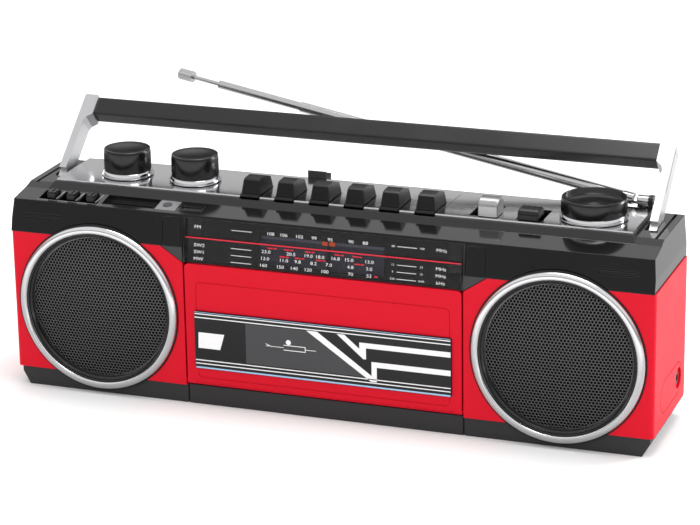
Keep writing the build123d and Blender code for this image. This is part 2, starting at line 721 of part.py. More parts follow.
def make_reel_spindle(x):
    y0 = front + chassis_front
    table = rod((x, y0 - 2.4, hub_z), (0, 1, 0), 2.0, reel_table_radius)
    post = rod((x, y0 - 2.4 - spindle_reach + 2, hub_z), (0, 1, 0), spindle_reach - 1.8, spindle_radius)
    shaft = rod((x, y0 - 1, hub_z), (0, 1, 0), chassis_thickness + 2.5, spindle_shaft_radius)
    spindle = table + post + shaft
    for i in range(3):
        vane = block(-0.5, 0.5, y0 - spindle_reach, y0 - 2.4, spindle_radius - 0.5, spindle_radius + 1.2)
        spindle = spindle + Pos(x, 0, hub_z) * Rot(Y=120 * i) * vane
    return spindle


def flywheel_front():
    return front + chassis_front + chassis_thickness + motor_depth + 0.6


def make_capstan_flywheel():
    y0 = flywheel_front()
    wheel = rod((capstan_x, y0, capstan_z), (0, 1, 0), flywheel_width, flywheel_radius)
    groove = tube((capstan_x, y0 + 1.5, capstan_z), (0, 1, 0), 3, flywheel_radius + 1, flywheel_radius - 1)
    shaft_front = front + chassis_front - 10
    shaft = rod((capstan_x, shaft_front, capstan_z), (0, 1, 0), y0 + 1 - shaft_front, spindle_shaft_radius)
    return wheel - groove + shaft


def make_drive_motor():
    y0 = front + chassis_front + chassis_thickness
    body = rod((motor_x, y0, motor_z), (0, 1, 0), motor_depth, motor_radius)
    body = chamfer(body.edges().group_by(Axis.Y)[-1], 1.0)
    bore = rod((motor_x, y0 + 4, motor_z), (0, 1, 0), 20, spindle_shaft_radius + shaft_clearance)
    return body - bore


def make_motor_pulley():
    y0 = flywheel_front() + 0.5
    wheel = rod((motor_x, y0, motor_z), (0, 1, 0), pulley_width, pulley_radius)
    groove = tube((motor_x, y0 + 1, motor_z), (0, 1, 0), 2, pulley_radius + 1, pulley_radius - 0.8)
    shaft = rod((motor_x, y0 - 8, motor_z), (0, 1, 0), 9, spindle_shaft_radius)
    return wheel - groove + shaft


# ---- speakers -----------------------------------------------------------------------------------
def make_speaker_ring(side):
    section = Plane.XY * Polygon((ring_inner, 0), (ring_outer, 0), (ring_outer, 0.8), (ring_outer - 1.0, 2.0),
                                 (ring_outer - 2.2, ring_stand), (ring_inner + 0.9, ring_stand),
                                 (ring_inner, ring_stand - 0.7), align=None)
    ring = revolve(section, Axis.Y)
    return Pos(side * speaker_x, front, speaker_z) * Rot(Z=180) * ring


def make_ring_gaskets():
    length = gasket_front + gasket_rear
    return Compound(children=[tube((side * speaker_x, front - gasket_front, speaker_z), (0, 1, 0), length,
                                   gasket_outer, ring_outer + 0.05) for side in (-1, 1)])


def make_grille(side):
    """A shallow dome; its holes are too fine to model as solids."""
    radius = speaker_hole - 0.3
    dome_radius = (radius ** 2 + grille_dome ** 2) / (2 * grille_dome)
    x, y = side * speaker_x, front + grille_setback
    centre = y - grille_dome + dome_radius
    disc = rod((x, y - grille_dome - 1, speaker_z), (0, 1, 0), grille_dome + grille_thickness + 1, radius)
    outer = Pos(x, centre, speaker_z) * Sphere(dome_radius)
    inner = Pos(x, centre, speaker_z) * Sphere(dome_radius - grille_thickness)
    return (disc & outer) - inner


def make_speakers():
    return Compound(children=speaker_solids(-1) + speaker_solids(1))


def speaker_solids(side):
    y0 = front + wall + 0.8
    x = side * speaker_x
    flange = tube((x, y0, speaker_z), (0, 1, 0), 1.5, speaker_hole + 3, basket_radius - 3)
    shell = Solid.make_cone(basket_radius, magnet_radius - 2, basket_depth,
                            Plane(origin=(x, y0, speaker_z), z_dir=(0, 1, 0)))
    inner = Solid.make_cone(basket_radius - 1.5, magnet_radius - 3.5, basket_depth,
                            Plane(origin=(x, y0 - 0.01, speaker_z), z_dir=(0, 1, 0)))
    basket = flange + (shell - inner)
    magnet = rod((x, y0 + basket_depth - 0.5, speaker_z), (0, 1, 0), magnet_depth, magnet_radius)
    cone = Solid.make_cone(basket_radius - 3, 11, 12, Plane(origin=(x, y0 + 1.6, speaker_z), z_dir=(0, 1, 0)))
    hollow = Solid.make_cone(basket_radius - 3 - cone_thickness, 11 - cone_thickness, 12,
                             Plane(origin=(x, y0 + 1.6 - 0.02, speaker_z), z_dir=(0, 1, 0)))
    return [basket + magnet, cone - hollow]


# ---- knobs, keys, slides and switches --------------------------------------------------------
def make_knob(x, y, radius, top, dish):
    low = deck_top + skirt_lift + skirt_height
    body = rod((x, front + y, low), (0, 0, 1), top - low, radius)
    body = fillet(body.edges().group_by(Axis.Z)[-1], 0.5 if dish > 2 else 1.2)
    bowl_radius = (radius - 2.2) ** 2 / (2 * dish) + dish / 2
    bowl = Pos(x, front + y, top - dish + bowl_radius) * Sphere(bowl_radius)
    if dish > 2:
        bowl = rod((x, front + y, top - dish), (0, 0, 1), dish + 1, radius - tuning_rim)
        bowl = fillet(bowl.edges().group_by(Axis.Z)[0], 0.8)
    hub = rod((x, front + y, deck_top + skirt_lift), (0, 0, 1), low - deck_top, radius - 4)
    stem = rod((x, front + y, stem_bottom), (0, 0, 1), low - stem_bottom, stem_radius)
    return body - bowl + hub + stem


def make_skirt(x, y, knob_radius, skirt_radius):
    z0 = deck_top + skirt_lift
    solid = Solid.make_cone(skirt_radius, skirt_radius - 0.8, skirt_height,
                            Plane(origin=(x, front + y, z0), z_dir=(0, 0, 1)))
    return solid - rod((x, front + y, z0 - 1), (0, 0, 1), skirt_height + 2, knob_radius - 4)


def make_key(x):
    top = [(front + key_front + 2.2, key_top - 1.0), (front + key_front + 3.6, key_top - 0.2),
           (front + key_front + 10.6, key_top), (front + key_rear - 1.6, key_top - 2.7)]
    y_face, y_back = front + key_front + 0.8, front + key_rear
    low = bevel_top - 4
    outline = [(y_face, deck_top + 1.6)] + top + [(y_back, deck_top), (y_back, low), (y_face, low)]
    body = prism_x(outline, x - key_width / 2, x + key_width / 2)
    slope = (key_width - key_top_width) / 2
    for side in (-1, 1):
        edge = x + side * key_width / 2
        wedge = [(edge, deck_top + 1.5), (edge - side * slope, key_top + 0.5), (edge + side, key_top + 0.5)]
        body = body - prism_y(wedge, front, rear)
    lip = block(x - key_width / 2, x + key_width / 2, front + key_front - 1.0, front + key_front + 2,
                deck_top - 0.6, deck_top + 1.2)
    lever = block(x - key_lever_width / 2, x + key_lever_width / 2, front + key_rear - 4, front + key_rod_y,
                  key_rod_z - 2.5, key_rod_z + 3.5)
    neck = block(x - key_lever_width / 2, x + key_lever_width / 2, front + key_rear - 6, front + key_rear - 1,
                 key_rod_z - 2.5, bevel_top - 2)
    eye = rod((x - key_lever_width / 2, front + key_rod_y, key_rod_z), (1, 0, 0), key_lever_width,
              key_eye_radius)
    bore = rod((x - 10, front + key_rod_y, key_rod_z), (1, 0, 0), 20, key_rod_radius + shaft_clearance)
    return body + lip + neck + lever + eye - bore


def make_slide_knob(x, width, top, rounded):
    y0 = front + slide_front
    cap = block(x - width / 2, x + width / 2, y0, y0 + slide_depth, deck_top + 0.4, top)
    cap = fillet(cap.edges().filter_by(Axis.X).group_by(Axis.Z)[-1], rounded)
    cap = fillet(cap.edges().filter_by(Axis.Z), 0.8)
    stem_width, stem_depth = slide_stem
    stem_front = front + slide_slot_front + 0.6
    stem = block(x - stem_width / 2, x + stem_width / 2, stem_front, stem_front + stem_depth,
                 deck_top - 7, deck_top + 2)
    return cap + stem


def make_switch_knob(slot_x):
    width, depth = switch_knob
    x, y = slot_x + switch_offset, front + switch_y
    knob = block(x - width / 2, x + width / 2, y - depth / 2, y + depth / 2, 106.5, switch_top)
    knob = chamfer(knob.edges().filter_by(Axis.X).group_by(Axis.Z)[-1], 0.8)
    slot = block(x - 0.5, x + 0.5, y - 2.2, y + 2.2, switch_top - 0.8, switch_top + 1)
    return knob - slot


# ---- sockets ------------------------------------------------------------------------------------
def make_usb_socket():
    width, depth = usb_shell
    y = front + usb_y
    top = band_top + (bevel_top - band_top) * (usb_y - band_lean) / (bevel_back - band_lean) - 0.4
    half_width, half_depth = width / 2 - 0.05, depth / 2 - 0.05
    shell = block(usb_x - half_width, usb_x + half_width, y - half_depth, y + half_depth,
                  top - usb_depth, top)
    s = usb_sheet
    hollow = block(usb_x - width / 2 + s, usb_x + width / 2 - s, y - depth / 2 + s, y + depth / 2 - s,
                   top - usb_depth + 1.5, top + 1)
    length, thick = usb_tongue
    tongue = block(usb_x - length / 2, usb_x + length / 2, y + depth / 2 - s - thick - 0.1, y + depth / 2 - s,
                   top - usb_depth + 1, top - 1.0)
    return (shell - hollow) + tongue


def make_card_socket():
    width, depth, height = card_socket_size
    z1 = bevel_top - card_recess_depth
    y = front + card_recess_y
    body = block(card_recess_x - width / 2, card_recess_x + width / 2, y - depth / 2, y + depth / 2,
                 z1 - height, z1 - 0.02)
    slot_width, slot_depth = card_slot_size
    return body - block(card_recess_x - slot_width / 2, card_recess_x + slot_width / 2, y - slot_depth / 2,
                        y + slot_depth / 2, z1 - height + 1.5, z1 + 1)


def make_line_jack():
    y = front + jack_y
    barrel = rod((half - 0.8 - jack_depth, y, jack_z), (1, 0, 0), jack_depth, jack_radius)
    block_end = block(half - wall - 0.3 - 11, half - wall - 0.3, y - 4.5, y + 4.5, jack_z - 5, jack_z + 5)
    bore = rod((half - jack_depth + 1, y, jack_z), (1, 0, 0), jack_depth, jack_bore_radius)
    return barrel + block_end - bore


def make_mains_inlet():
    width, depth, height = inlet_size
    y1 = rear + bulge_depth
    body = block(inlet_x - width / 2 + 0.05, inlet_x + width / 2 - 0.05, y1 - depth, y1 - 0.3,
                 inlet_z - height / 2 + 0.05, inlet_z + height / 2 - 0.05)
    well = block(inlet_x - 8.2, inlet_x + 8.2, y1 - depth + 3, y1 + 1, inlet_z - 4.6, inlet_z + 4.6)
    well = fillet(well.edges().filter_by(Axis.Y), 4.0)
    body = body - well
    for side in (-1, 1):
        body = body + rod((inlet_x + side * 4.3, y1 - depth + 2.5, inlet_z), (0, 1, 0), 8.5, 1.2)
    return body


def make_mains_transformer():
    width, depth, height = transformer_size
    x0, y0, z0 = 96.0, 3.0, 42.0
    core = block(x0, x0 + width, y0, y0 + depth, z0, z0 + height)
    windows = block(x0 + 8, x0 + 15, y0 - 1, y0 + depth + 1, z0 + 7, z0 + height - 7)
    core = core - windows - Pos(17, 0, 0) * windows
    coil = block(x0 + 9, x0 + 14, y0 - 3, y0 + depth + 3, z0 + 8, z0 + height - 8)
    return Compound(children=[core, coil, Pos(17, 0, 0) * coil])


def make_main_board():
    z1 = board_height + board_thickness
    board = block(-half + 26, half - 26, front + 14, rear - 7, board_height, z1)
    board = board - block(-64, 64, front + 17, rear, board_height - 1, z1 + 1)
    parts = [board]
    for x in (volume_x, tone_x):
        pot = rod((x, front + knob_y, z1), (0, 0, 1), 8.0, 8.5)
        parts.append(pot)
    y = front + tuning_y
    parts.append(block(tuning_x - 10, tuning_x + 10, y - 10, y + 10, z1, z1 + 8))
    parts.append(rod((75, rear - 10, z1 + 5), (1, 0, 0), 70, 4.5))
    return Compound(children=parts)


def make_case_screws():
    screws = []
    for x, z in screw_spots:
        shank = rod((x, rear - 12, z), (0, 1, 0), 12.05, screw_radius)
        head = rod((x, rear, z), (0, 1, 0), 1.8, screw_head_radius)
        cross = block(x - 2, x + 2, rear + 1, rear + 3, z - 0.4, z + 0.4)
        screws.append(shank + head - cross - Pos(x, 0, z) * Rot(Y=90) * Pos(-x, 0, -z) * cross)
    return Compound(children=screws)


# ---- handle ---------------------------------------------------------------------------------------
def lean_back(shape):
    """Turn a shape drawn upright about the pivot line to where the handle rests."""
    return Pos(0, *pivot) * Rot(X=-handle_lean) * shape


def make_handle_arm(side):
    d = arm_depth / 2
    x_in, x_out = arm_outer - arm_thickness, arm_outer
    bar = block(x_in, x_out, -d, d, 0, arm_reach)
    end = rod((x_in, 0, 0), (1, 0, 0), arm_thickness, d)
    head_in = arm_outer - arm_head
    low = arm_reach - arm_head_drop
    outline = [(x_in + 0.1, low - 5), (x_in, low - 5), (x_in - 1.0, low - 2.4), (head_in, low),
               (head_in, arm_reach), (x_in + 0.1, arm_reach)]
    head = prism_y(outline, -d, d)
    arm = fillet((bar + end + head).edges().filter_by(Axis.Y).group_by(Axis.Z)[-1], 1.2)
    groove = block(x_out - 0.5, x_out + 1, -d + 2.2, -d + 3.4, 29, arm_reach - 3)
    # the foot is thinner in front, so that the handle stands upright in its channel
    relief = block(x_in - 1, x_out + 1, -d - 1, -d + arm_relief, -d - 1, arm_relief_height)
    bore = rod((x_in - 1, 0, 0), (1, 0, 0), arm_thickness + 2, pivot_radius + shaft_clearance)
    arm = lean_back(arm - groove - relief - bore)
    return arm if side > 0 else mirror_x(arm)


def make_handle_grip():
    d = arm_depth / 2
    x = arm_outer - arm_head
    top = arm_reach - 0.6
    bar = block(-x, x, -d + grip_setback, -d + grip_setback + grip_depth, top - grip_height, top)
    bar = fillet(bar.edges().filter_by(Axis.X).group_by(Axis.Y)[-1], 3.0)
    bar = fillet(bar.edges().filter_by(Axis.X).group_by(Axis.Y)[0], 0.8)
    return lean_back(bar)


def make_handle_pivots():
    pins = []
    for side in (-1, 1):
        pin = rod((side * (channel_inner - 1.7), *pivot), (side, 0, 0), channel_outer - channel_inner + 3.2,
                  pivot_radius)
        pins.append(pin)
    return Compound(children=pins)


# ---- antenna ----------------------------------------------------------------------------------------
antenna_base = Vector(antenna_x, front + antenna_y, antenna_z)
roll_rad, fold_rad = radians(antenna_roll), radians(antenna_fold)
fold_out = Vector(0, cos(roll_rad), sin(roll_rad))
antenna_dir = Vector(-cos(fold_rad), 0, 0) + fold_out * sin(fold_rad)
hinge_axis = Vector(0, sin(roll_rad), -cos(roll_rad))


def on_antenna(distance):
    return antenna_base + antenna_dir * distance


def make_antenna_bracket():
    x0 = antenna_x + knuckle_length / 2 + 0.4
    ear = block(x0, x0 + 2.4, antenna_base.Y - 3.5, antenna_base.Y + 3.5, rim_top + 0.05, antenna_z + 3.8)
    ear = fillet(ear.edges().filter_by(Axis.X).group_by(Axis.Z)[-1], 3.0)
    foot = block(x0 - 5, x0 + 2.4, antenna_base.Y - 3.5, antenna_base.Y + 3.5, rim_top + 0.05, rim_top + 0.8)
    bore = rod((x0 - 1, antenna_base.Y, antenna_z), (1, 0, 0), 5, pivot_radius - 0.5 + shaft_clearance)
    return ear + foot - bore


def make_antenna_swivel():
    x1 = antenna_x + knuckle_length / 2
    x0 = x1 - knuckle_length
    fork = rod((x0, antenna_base.Y, antenna_z), (1, 0, 0), knuckle_length, knuckle_radius)
    fork = chamfer(fork.edges().group_by(Axis.X)[0], 0.5)
    stub = rod((x1 - 0.5, antenna_base.Y, antenna_z), (1, 0, 0), 3.9, pivot_radius - 0.5)
    slot_plane = Plane(origin=antenna_base, x_dir=(1, 0, 0), z_dir=hinge_axis)
    slot = slot_plane * Pos(-0.9, 0, 0) * Box(knuckle_length, 3 * knuckle_radius, tongue_thickness + 0.3)
    pin = rod(antenna_base - hinge_axis * knuckle_radius * 0.95, hinge_axis, knuckle_radius * 1.9,
              hinge_pin_radius)
    return (fork - slot) + stub + pin


def make_antenna_root():
    plane = Plane(origin=antenna_base, x_dir=antenna_dir, z_dir=hinge_axis)
    tongue = plane * (Pos(root_start / 2, 0, 0) * Box(root_start + 0.4, 3.8, tongue_thickness))
    eye = plane * Cylinder(1.9, tongue_thickness)
    hole = plane * Cylinder(hinge_pin_radius + shaft_clearance, 10)
    collar = rod(on_antenna(root_start), antenna_dir, root_end - root_start, root_radius)
    return tongue + eye + collar - hole


def make_antenna_tube():
    bore = middle_radius + shaft_clearance
    outer = rod(on_antenna(root_end), antenna_dir, tube_end - root_end, tube_radius)
    return outer - rod(on_antenna(root_end + 2), antenna_dir, tube_end, bore)


def make_antenna_middle():
    outer = rod(on_antenna(middle_start), antenna_dir, middle_end - middle_start, middle_radius)
    return outer - rod(on_antenna(middle_start - 1), antenna_dir, middle_end, tip_radius + shaft_clearance)


def make_antenna_tip():
    wire = rod(on_antenna(rod_start), antenna_dir, rod_end - rod_start + 1, tip_radius)
    cap = rod(on_antenna(rod_end), antenna_dir, cap_end - rod_end, cap_radius)
    return wire + cap


# ---- all nodes ------------------------------------------------------------------------------------------
nodes = {
    "base_tray": make_base_tray(),
    "rubber_feet": make_feet(),
    "front_cabinet": make_front_cabinet(),
    "upper_case": make_upper_case(),
    "rear_cover": make_rear_cover(),
    "deck_plate": make_deck_plate(),
    "dial_window": make_dial_window(),
    "dial_scale": make_dial_scale(),
    "dial_pointer": make_dial_pointer(),
    "battery_door": make_battery_door(),
    "battery_contacts": make_battery_contacts(),
    "cassette_door": make_cassette_door(),
    "door_window": make_door_window(),
    "cassette_holder": make_cassette_holder(),
    "tape_chassis": make_tape_chassis(),
    "supply_spindle": make_reel_spindle(-hub_spacing / 2),
    "takeup_spindle": make_reel_spindle(hub_spacing / 2),
    "capstan_flywheel": make_capstan_flywheel(),
    "drive_motor": make_drive_motor(),
    "motor_pulley": make_motor_pulley(),
    "volume_knob": make_knob(volume_x, knob_y, small_knob_radius, small_knob_top, small_dish),
    "tone_knob": make_knob(tone_x, knob_y, small_knob_radius, small_knob_top, small_dish),
    "tuning_knob": make_knob(tuning_x, tuning_y, tuning_radius, tuning_top, tuning_dish),
    "volume_skirt": make_skirt(volume_x, knob_y, small_knob_radius, small_skirt_radius),
    "tone_skirt": make_skirt(tone_x, knob_y, small_knob_radius, small_skirt_radius),
    "tuning_skirt": make_skirt(tuning_x, tuning_y, tuning_radius, tuning_skirt_radius),
    "function_slide": make_slide_knob(function_knob_x, function_width, function_top, function_round),
    "band_slide": make_slide_knob(band_knob_x, band_width, band_knob_top, band_round),
    "ring_gaskets": make_ring_gaskets(),
    "speakers": make_speakers(),
    "usb_socket": make_usb_socket(),
    "card_socket": make_card_socket(),
    "line_jack": make_line_jack(),
    "mains_inlet": make_mains_inlet(),
    "mains_transformer": make_mains_transformer(),
    "main_board": make_main_board(),
    "case_screws": make_case_screws(),
    "handle_arm_left": make_handle_arm(-1),
    "handle_arm_right": make_handle_arm(1),
    "handle_grip": make_handle_grip(),
    "handle_pivots": make_handle_pivots(),
    "antenna_bracket": make_antenna_bracket(),
    "antenna_swivel": make_antenna_swivel(),
    "antenna_root": make_antenna_root(),
    "antenna_tube": make_antenna_tube(),
    "antenna_middle": make_antenna_middle(),
    "antenna_tip": make_antenna_tip(),
}
for end, side in (("left", -1), ("right", 1)):
    nodes[f"speaker_ring_{end}"] = make_speaker_ring(side)
    nodes[f"speaker_grille_{end}"] = make_grille(side)
for name, x in zip(key_names, key_places()):
    nodes[name] = make_key(x)
for name, x in zip(switch_names, switch_places()):
    nodes[name] = make_switch_knob(x)

os.makedirs("parts", exist_ok=True)
for name, shape in nodes.items():
    export_step(shape, f"parts/{name}.step")
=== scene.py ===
# A portable radio-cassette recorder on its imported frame: red cabinet, black upper case, silver deck.
# Sizes are in millimetres in the frame's own axes, and become metres as each mesh is made.
from math import cos, floor, pi, radians, sin, sqrt

import bmesh
import bpy
from mathutils import Matrix, Vector


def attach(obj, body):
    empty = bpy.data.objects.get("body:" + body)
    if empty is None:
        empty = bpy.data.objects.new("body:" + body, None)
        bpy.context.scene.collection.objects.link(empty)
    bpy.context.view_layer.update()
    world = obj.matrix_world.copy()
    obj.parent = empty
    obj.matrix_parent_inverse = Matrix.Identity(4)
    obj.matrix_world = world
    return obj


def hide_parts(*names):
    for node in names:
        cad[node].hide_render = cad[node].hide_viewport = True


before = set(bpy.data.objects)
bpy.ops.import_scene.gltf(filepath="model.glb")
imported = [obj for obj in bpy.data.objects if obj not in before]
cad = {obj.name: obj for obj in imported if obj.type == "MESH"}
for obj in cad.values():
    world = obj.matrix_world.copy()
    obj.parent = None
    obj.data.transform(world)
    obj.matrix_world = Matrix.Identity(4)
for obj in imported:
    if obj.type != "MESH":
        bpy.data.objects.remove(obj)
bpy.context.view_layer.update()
mm = 0.001

# ---- cabinet: the red front shell and the whole red centre panel that opens as the cassette door ----
# Injection-moulded ABS in a strong red. The tool is lightly spark-eroded, so the face is satin: it holds
# a soft highlight and goes paler at a grazing angle.


def linear(code):
    """An sRGB hex colour as linear RGBA."""
    parts = [int(code[i:i + 2], 16) / 255 for i in (1, 3, 5)]
    return [p / 12.92 if p <= 0.04045 else ((p + 0.055) / 1.055) ** 2.4 for p in parts] + [1.0]


def add_node(material, kind, links=None, values=None, **settings):
    """One node, with its settings, its socket values and the links that come into it."""
    node = material.node_tree.nodes.new(kind)
    for key, value in settings.items():
        setattr(node, key, value)
    for key, value in (values or {}).items():
        node.inputs[key].default_value = value
    for key, socket in (links or {}).items():
        material.node_tree.links.new(socket, node.inputs[key])
    return node


def new_material(name):
    material = bpy.data.materials.new(name)
    material.use_nodes = True
    material.node_tree.nodes.clear()
    return material


def moulded(name, code, roughness, grain, depth, shade=0.85, spread=0.06, edge=0.3, shader=None):
    """A moulded finish: softened edges, a fine grain in relief, slow drifts of tone and gloss."""
    material = new_material(name)
    place = add_node(material, "ShaderNodeTexCoord")
    fine = add_node(material, "ShaderNodeTexNoise", {"Vector": place.outputs["Object"]},
                    {"Scale": 1000 / grain, "Detail": 3.0, "Roughness": 0.6})
    slow = add_node(material, "ShaderNodeTexNoise", {"Vector": place.outputs["Object"]},
                    {"Scale": 22.0, "Detail": 4.0})
    soft = add_node(material, "ShaderNodeBevel", None, {"Radius": edge * mm}, samples=4)
    relief = add_node(material, "ShaderNodeBump",
                      {"Height": fine.outputs["Fac"], "Normal": soft.outputs["Normal"]},
                      {"Strength": 0.5, "Distance": depth * mm})
    dark = [c * shade for c in linear(code)[:3]] + [1.0]
    tone = add_node(material, "ShaderNodeMix", {"Factor": slow.outputs["Fac"]}, data_type="RGBA")
    tone.inputs["A"].default_value = dark
    tone.inputs["B"].default_value = linear(code)
    gloss = add_node(material, "ShaderNodeMapRange", {"Value": slow.outputs["Fac"]},
                     {"From Min": 0.3, "From Max": 0.7, "To Min": roughness - spread / 2,
                      "To Max": roughness + spread / 2})
    body = add_node(material, "ShaderNodeBsdfPrincipled",
                    {"Base Color": tone.outputs["Result"], "Roughness": gloss.outputs["Result"],
                     "Normal": relief.outputs["Normal"]}, shader)
    add_node(material, "ShaderNodeOutputMaterial", {"Surface": body.outputs["BSDF"]})
    return material


def finish_nodes(names, material):
    """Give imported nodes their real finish."""
    for name in names:
        cad[name].data.materials.clear()
        cad[name].data.materials.append(material)


red_abs = moulded("Red ABS, satin moulded", "#D60022", 0.36, 0.5, 0.008, shade=0.96,
                  shader={"IOR": 1.38, "Specular IOR Level": 0.28})
finish_nodes(["front_cabinet", "cassette_door"], red_abs)

# ---- speaker surrounds: chromed trim ring, black stepped bezel and black edging ------------------
# The ring is ABS, plated bright chrome and pressed over the bezel. The bezel inside it is gloss black,
# with a step down to the grille.
speaker_x, speaker_z = 133.4, 51.2
front_y = -35.0


def turned(profile, centre, axis, segments=144, rib_depth=0.0, ribbed=()):
    """A closed profile of (radius, height) pairs turned about an axis; chosen points carry ribs."""
    along = Vector(axis).normalized()
    across = along.orthogonal().normalized()
    other = along.cross(across)
    mesh = bmesh.new()
    rings = []
    for step in range(segments):
        out = across * cos(2 * pi * step / segments) + other * sin(2 * pi * step / segments)
        ring = []
        for index, (radius, height) in enumerate(profile):
            cut = rib_depth if index in ribbed and step % 2 else 0.0
            ring.append(mesh.verts.new((Vector(centre) + along * height + out * (radius - cut)) * mm))
        rings.append(ring)
    for step in range(segments):
        here, there = rings[step], rings[(step + 1) % segments]
        for index in range(len(profile)):
            after = (index + 1) % len(profile)
            mesh.faces.new((here[index], there[index], there[after], here[after]))
    bmesh.ops.remove_doubles(mesh, verts=mesh.verts, dist=1e-7)
    bmesh.ops.dissolve_degenerate(mesh, dist=1e-7, edges=mesh.edges)
    bmesh.ops.recalc_face_normals(mesh, faces=mesh.faces)
    return mesh


def piece(name, mesh, material, body, stands_for=(), crease=35):
    """A finished piece from a bmesh: smooth where its faces nearly meet flat, and riding on its body."""
    data = bpy.data.meshes.new(name)
    mesh.to_mesh(data)
    mesh.free()
    data.materials.append(material)
    data.shade_smooth()
    data.set_sharp_from_angle(angle=radians(crease))
    made = bpy.data.objects.new(name, data)
    bpy.context.scene.collection.objects.link(made)
    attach(made, body)
    if stands_for:
        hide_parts(*stands_for)
    return made


def rounded_section(r_in, r_out, low, high, inner_round, outer_round, steps=6):
    """A ring's section with its two front corners rounded."""
    points = [(r_in, low)]
    for i in range(steps + 1):
        turn = pi / 2 * i / steps
        points.append((r_in + inner_round * (1 - cos(turn)), high - inner_round * (1 - sin(turn))))
    for i in range(steps + 1):
        turn = pi / 2 * i / steps
        points.append((r_out - outer_round * (1 - sin(turn)), high - outer_round * (1 - cos(turn))))
    return points + [(r_out, low)]


def plated(name, code, roughness, streak=0.05):
    """Bright plating or bare metal: a mirror with a faint waviness and hairline wear."""
    material = new_material(name)
    place = add_node(material, "ShaderNodeTexCoord")
    wear = add_node(material, "ShaderNodeTexNoise", {"Vector": place.outputs["Object"]},
                    {"Scale": 180.0, "Detail": 5.0, "Roughness": 0.65})
    gloss = add_node(material, "ShaderNodeMapRange", {"Value": wear.outputs["Fac"]},
                     {"From Min": 0.35, "From Max": 0.75, "To Min": roughness,
                      "To Max": roughness + streak})
    wave = add_node(material, "ShaderNodeBump", {"Height": wear.outputs["Fac"]},
                    {"Strength": 0.15, "Distance": 0.02 * mm})
    body = add_node(material, "ShaderNodeBsdfPrincipled",
                    {"Roughness": gloss.outputs["Result"], "Normal": wave.outputs["Normal"]},
                    {"Base Color": linear(code), "Metallic": 1.0})
    add_node(material, "ShaderNodeOutputMaterial", {"Surface": body.outputs["BSDF"]})
    return material


bright_chrome = plated("Chrome, bright plated", "#D6D6D8", 0.07)
ring_chrome = plated("Chrome, softly bright on ABS", "#E2E2E4", 0.16, 0.08)
gloss_black = moulded("Black ABS, polished", "#161617", 0.10, 1.4, 0.003, spread=0.04, edge=0.5,
                      shader={"IOR": 1.55})
gasket_black = moulded("Black rubber, edging", "#0A0A0A", 0.6, 0.6, 0.01)
finish_nodes(["ring_gaskets"], gasket_black)

for end, side in (("left", -1), ("right", 1)):
    centre = (side * speaker_x, front_y, speaker_z)
    ring = turned(rounded_section(43.6, 48.1, 0.0, 2.5, 1.3, 2.4), centre, (0, -1, 0), segments=192)
    piece(f"chrome_ring_{end}", ring, ring_chrome, "cabinet", [f"speaker_ring_{end}"])
    step = [(41.3, -2.6), (41.3, -0.4), (41.6, 0.0), (42.4, 0.3), (42.7, 1.2), (43.55, 1.5), (43.55, 0.0),
            (41.98, 0.0), (41.98, -2.6)]
    bezel = turned(step, centre, (0, -1, 0), segments=192)
    piece(f"bezel_{end}", bezel, gloss_black, "cabinet")

# ---- speaker grilles: punched and domed steel sheet, stove-enamelled black -----------------------
# Round holes on a staggered 1.95 mm pitch, so the web between them catches the light as a fine net.
# Punched in a press, then domed and dipped.
grille_radius, grille_pitch, grille_hole, hole_round = 41.4, 1.95, 0.74, 0.13
grille_sheet, grille_dome = 0.5, 2.2


def punched_tile():
    """One six-sided tile of sheet with a round hole, face up."""
    corner = grille_pitch / sqrt(3)
    mesh = bmesh.new()
    rings = []
    for radius, height in ((None, 0.0), (grille_hole + hole_round, -0.02),
                           (grille_hole, -hole_round - 0.02), (grille_hole, -grille_sheet),
                           (None, -grille_sheet)):
        ring = []
        for i in range(12):
            turn = pi / 6 * i + pi / 6
            reach = radius or (corner if i % 2 == 0 else corner * cos(pi / 6))
            ring.append(mesh.verts.new((reach * cos(turn), reach * sin(turn), height)))
        rings.append(ring)
    for ring, after in zip(rings, rings[1:]):
        for i in range(12):
            j = (i + 1) % 12
            mesh.faces.new((ring[i], ring[j], after[j], after[i]))
    data = bpy.data.meshes.new("punched tile")
    mesh.to_mesh(data)
    mesh.free()
    return bpy.data.objects.new("punched tile", data)


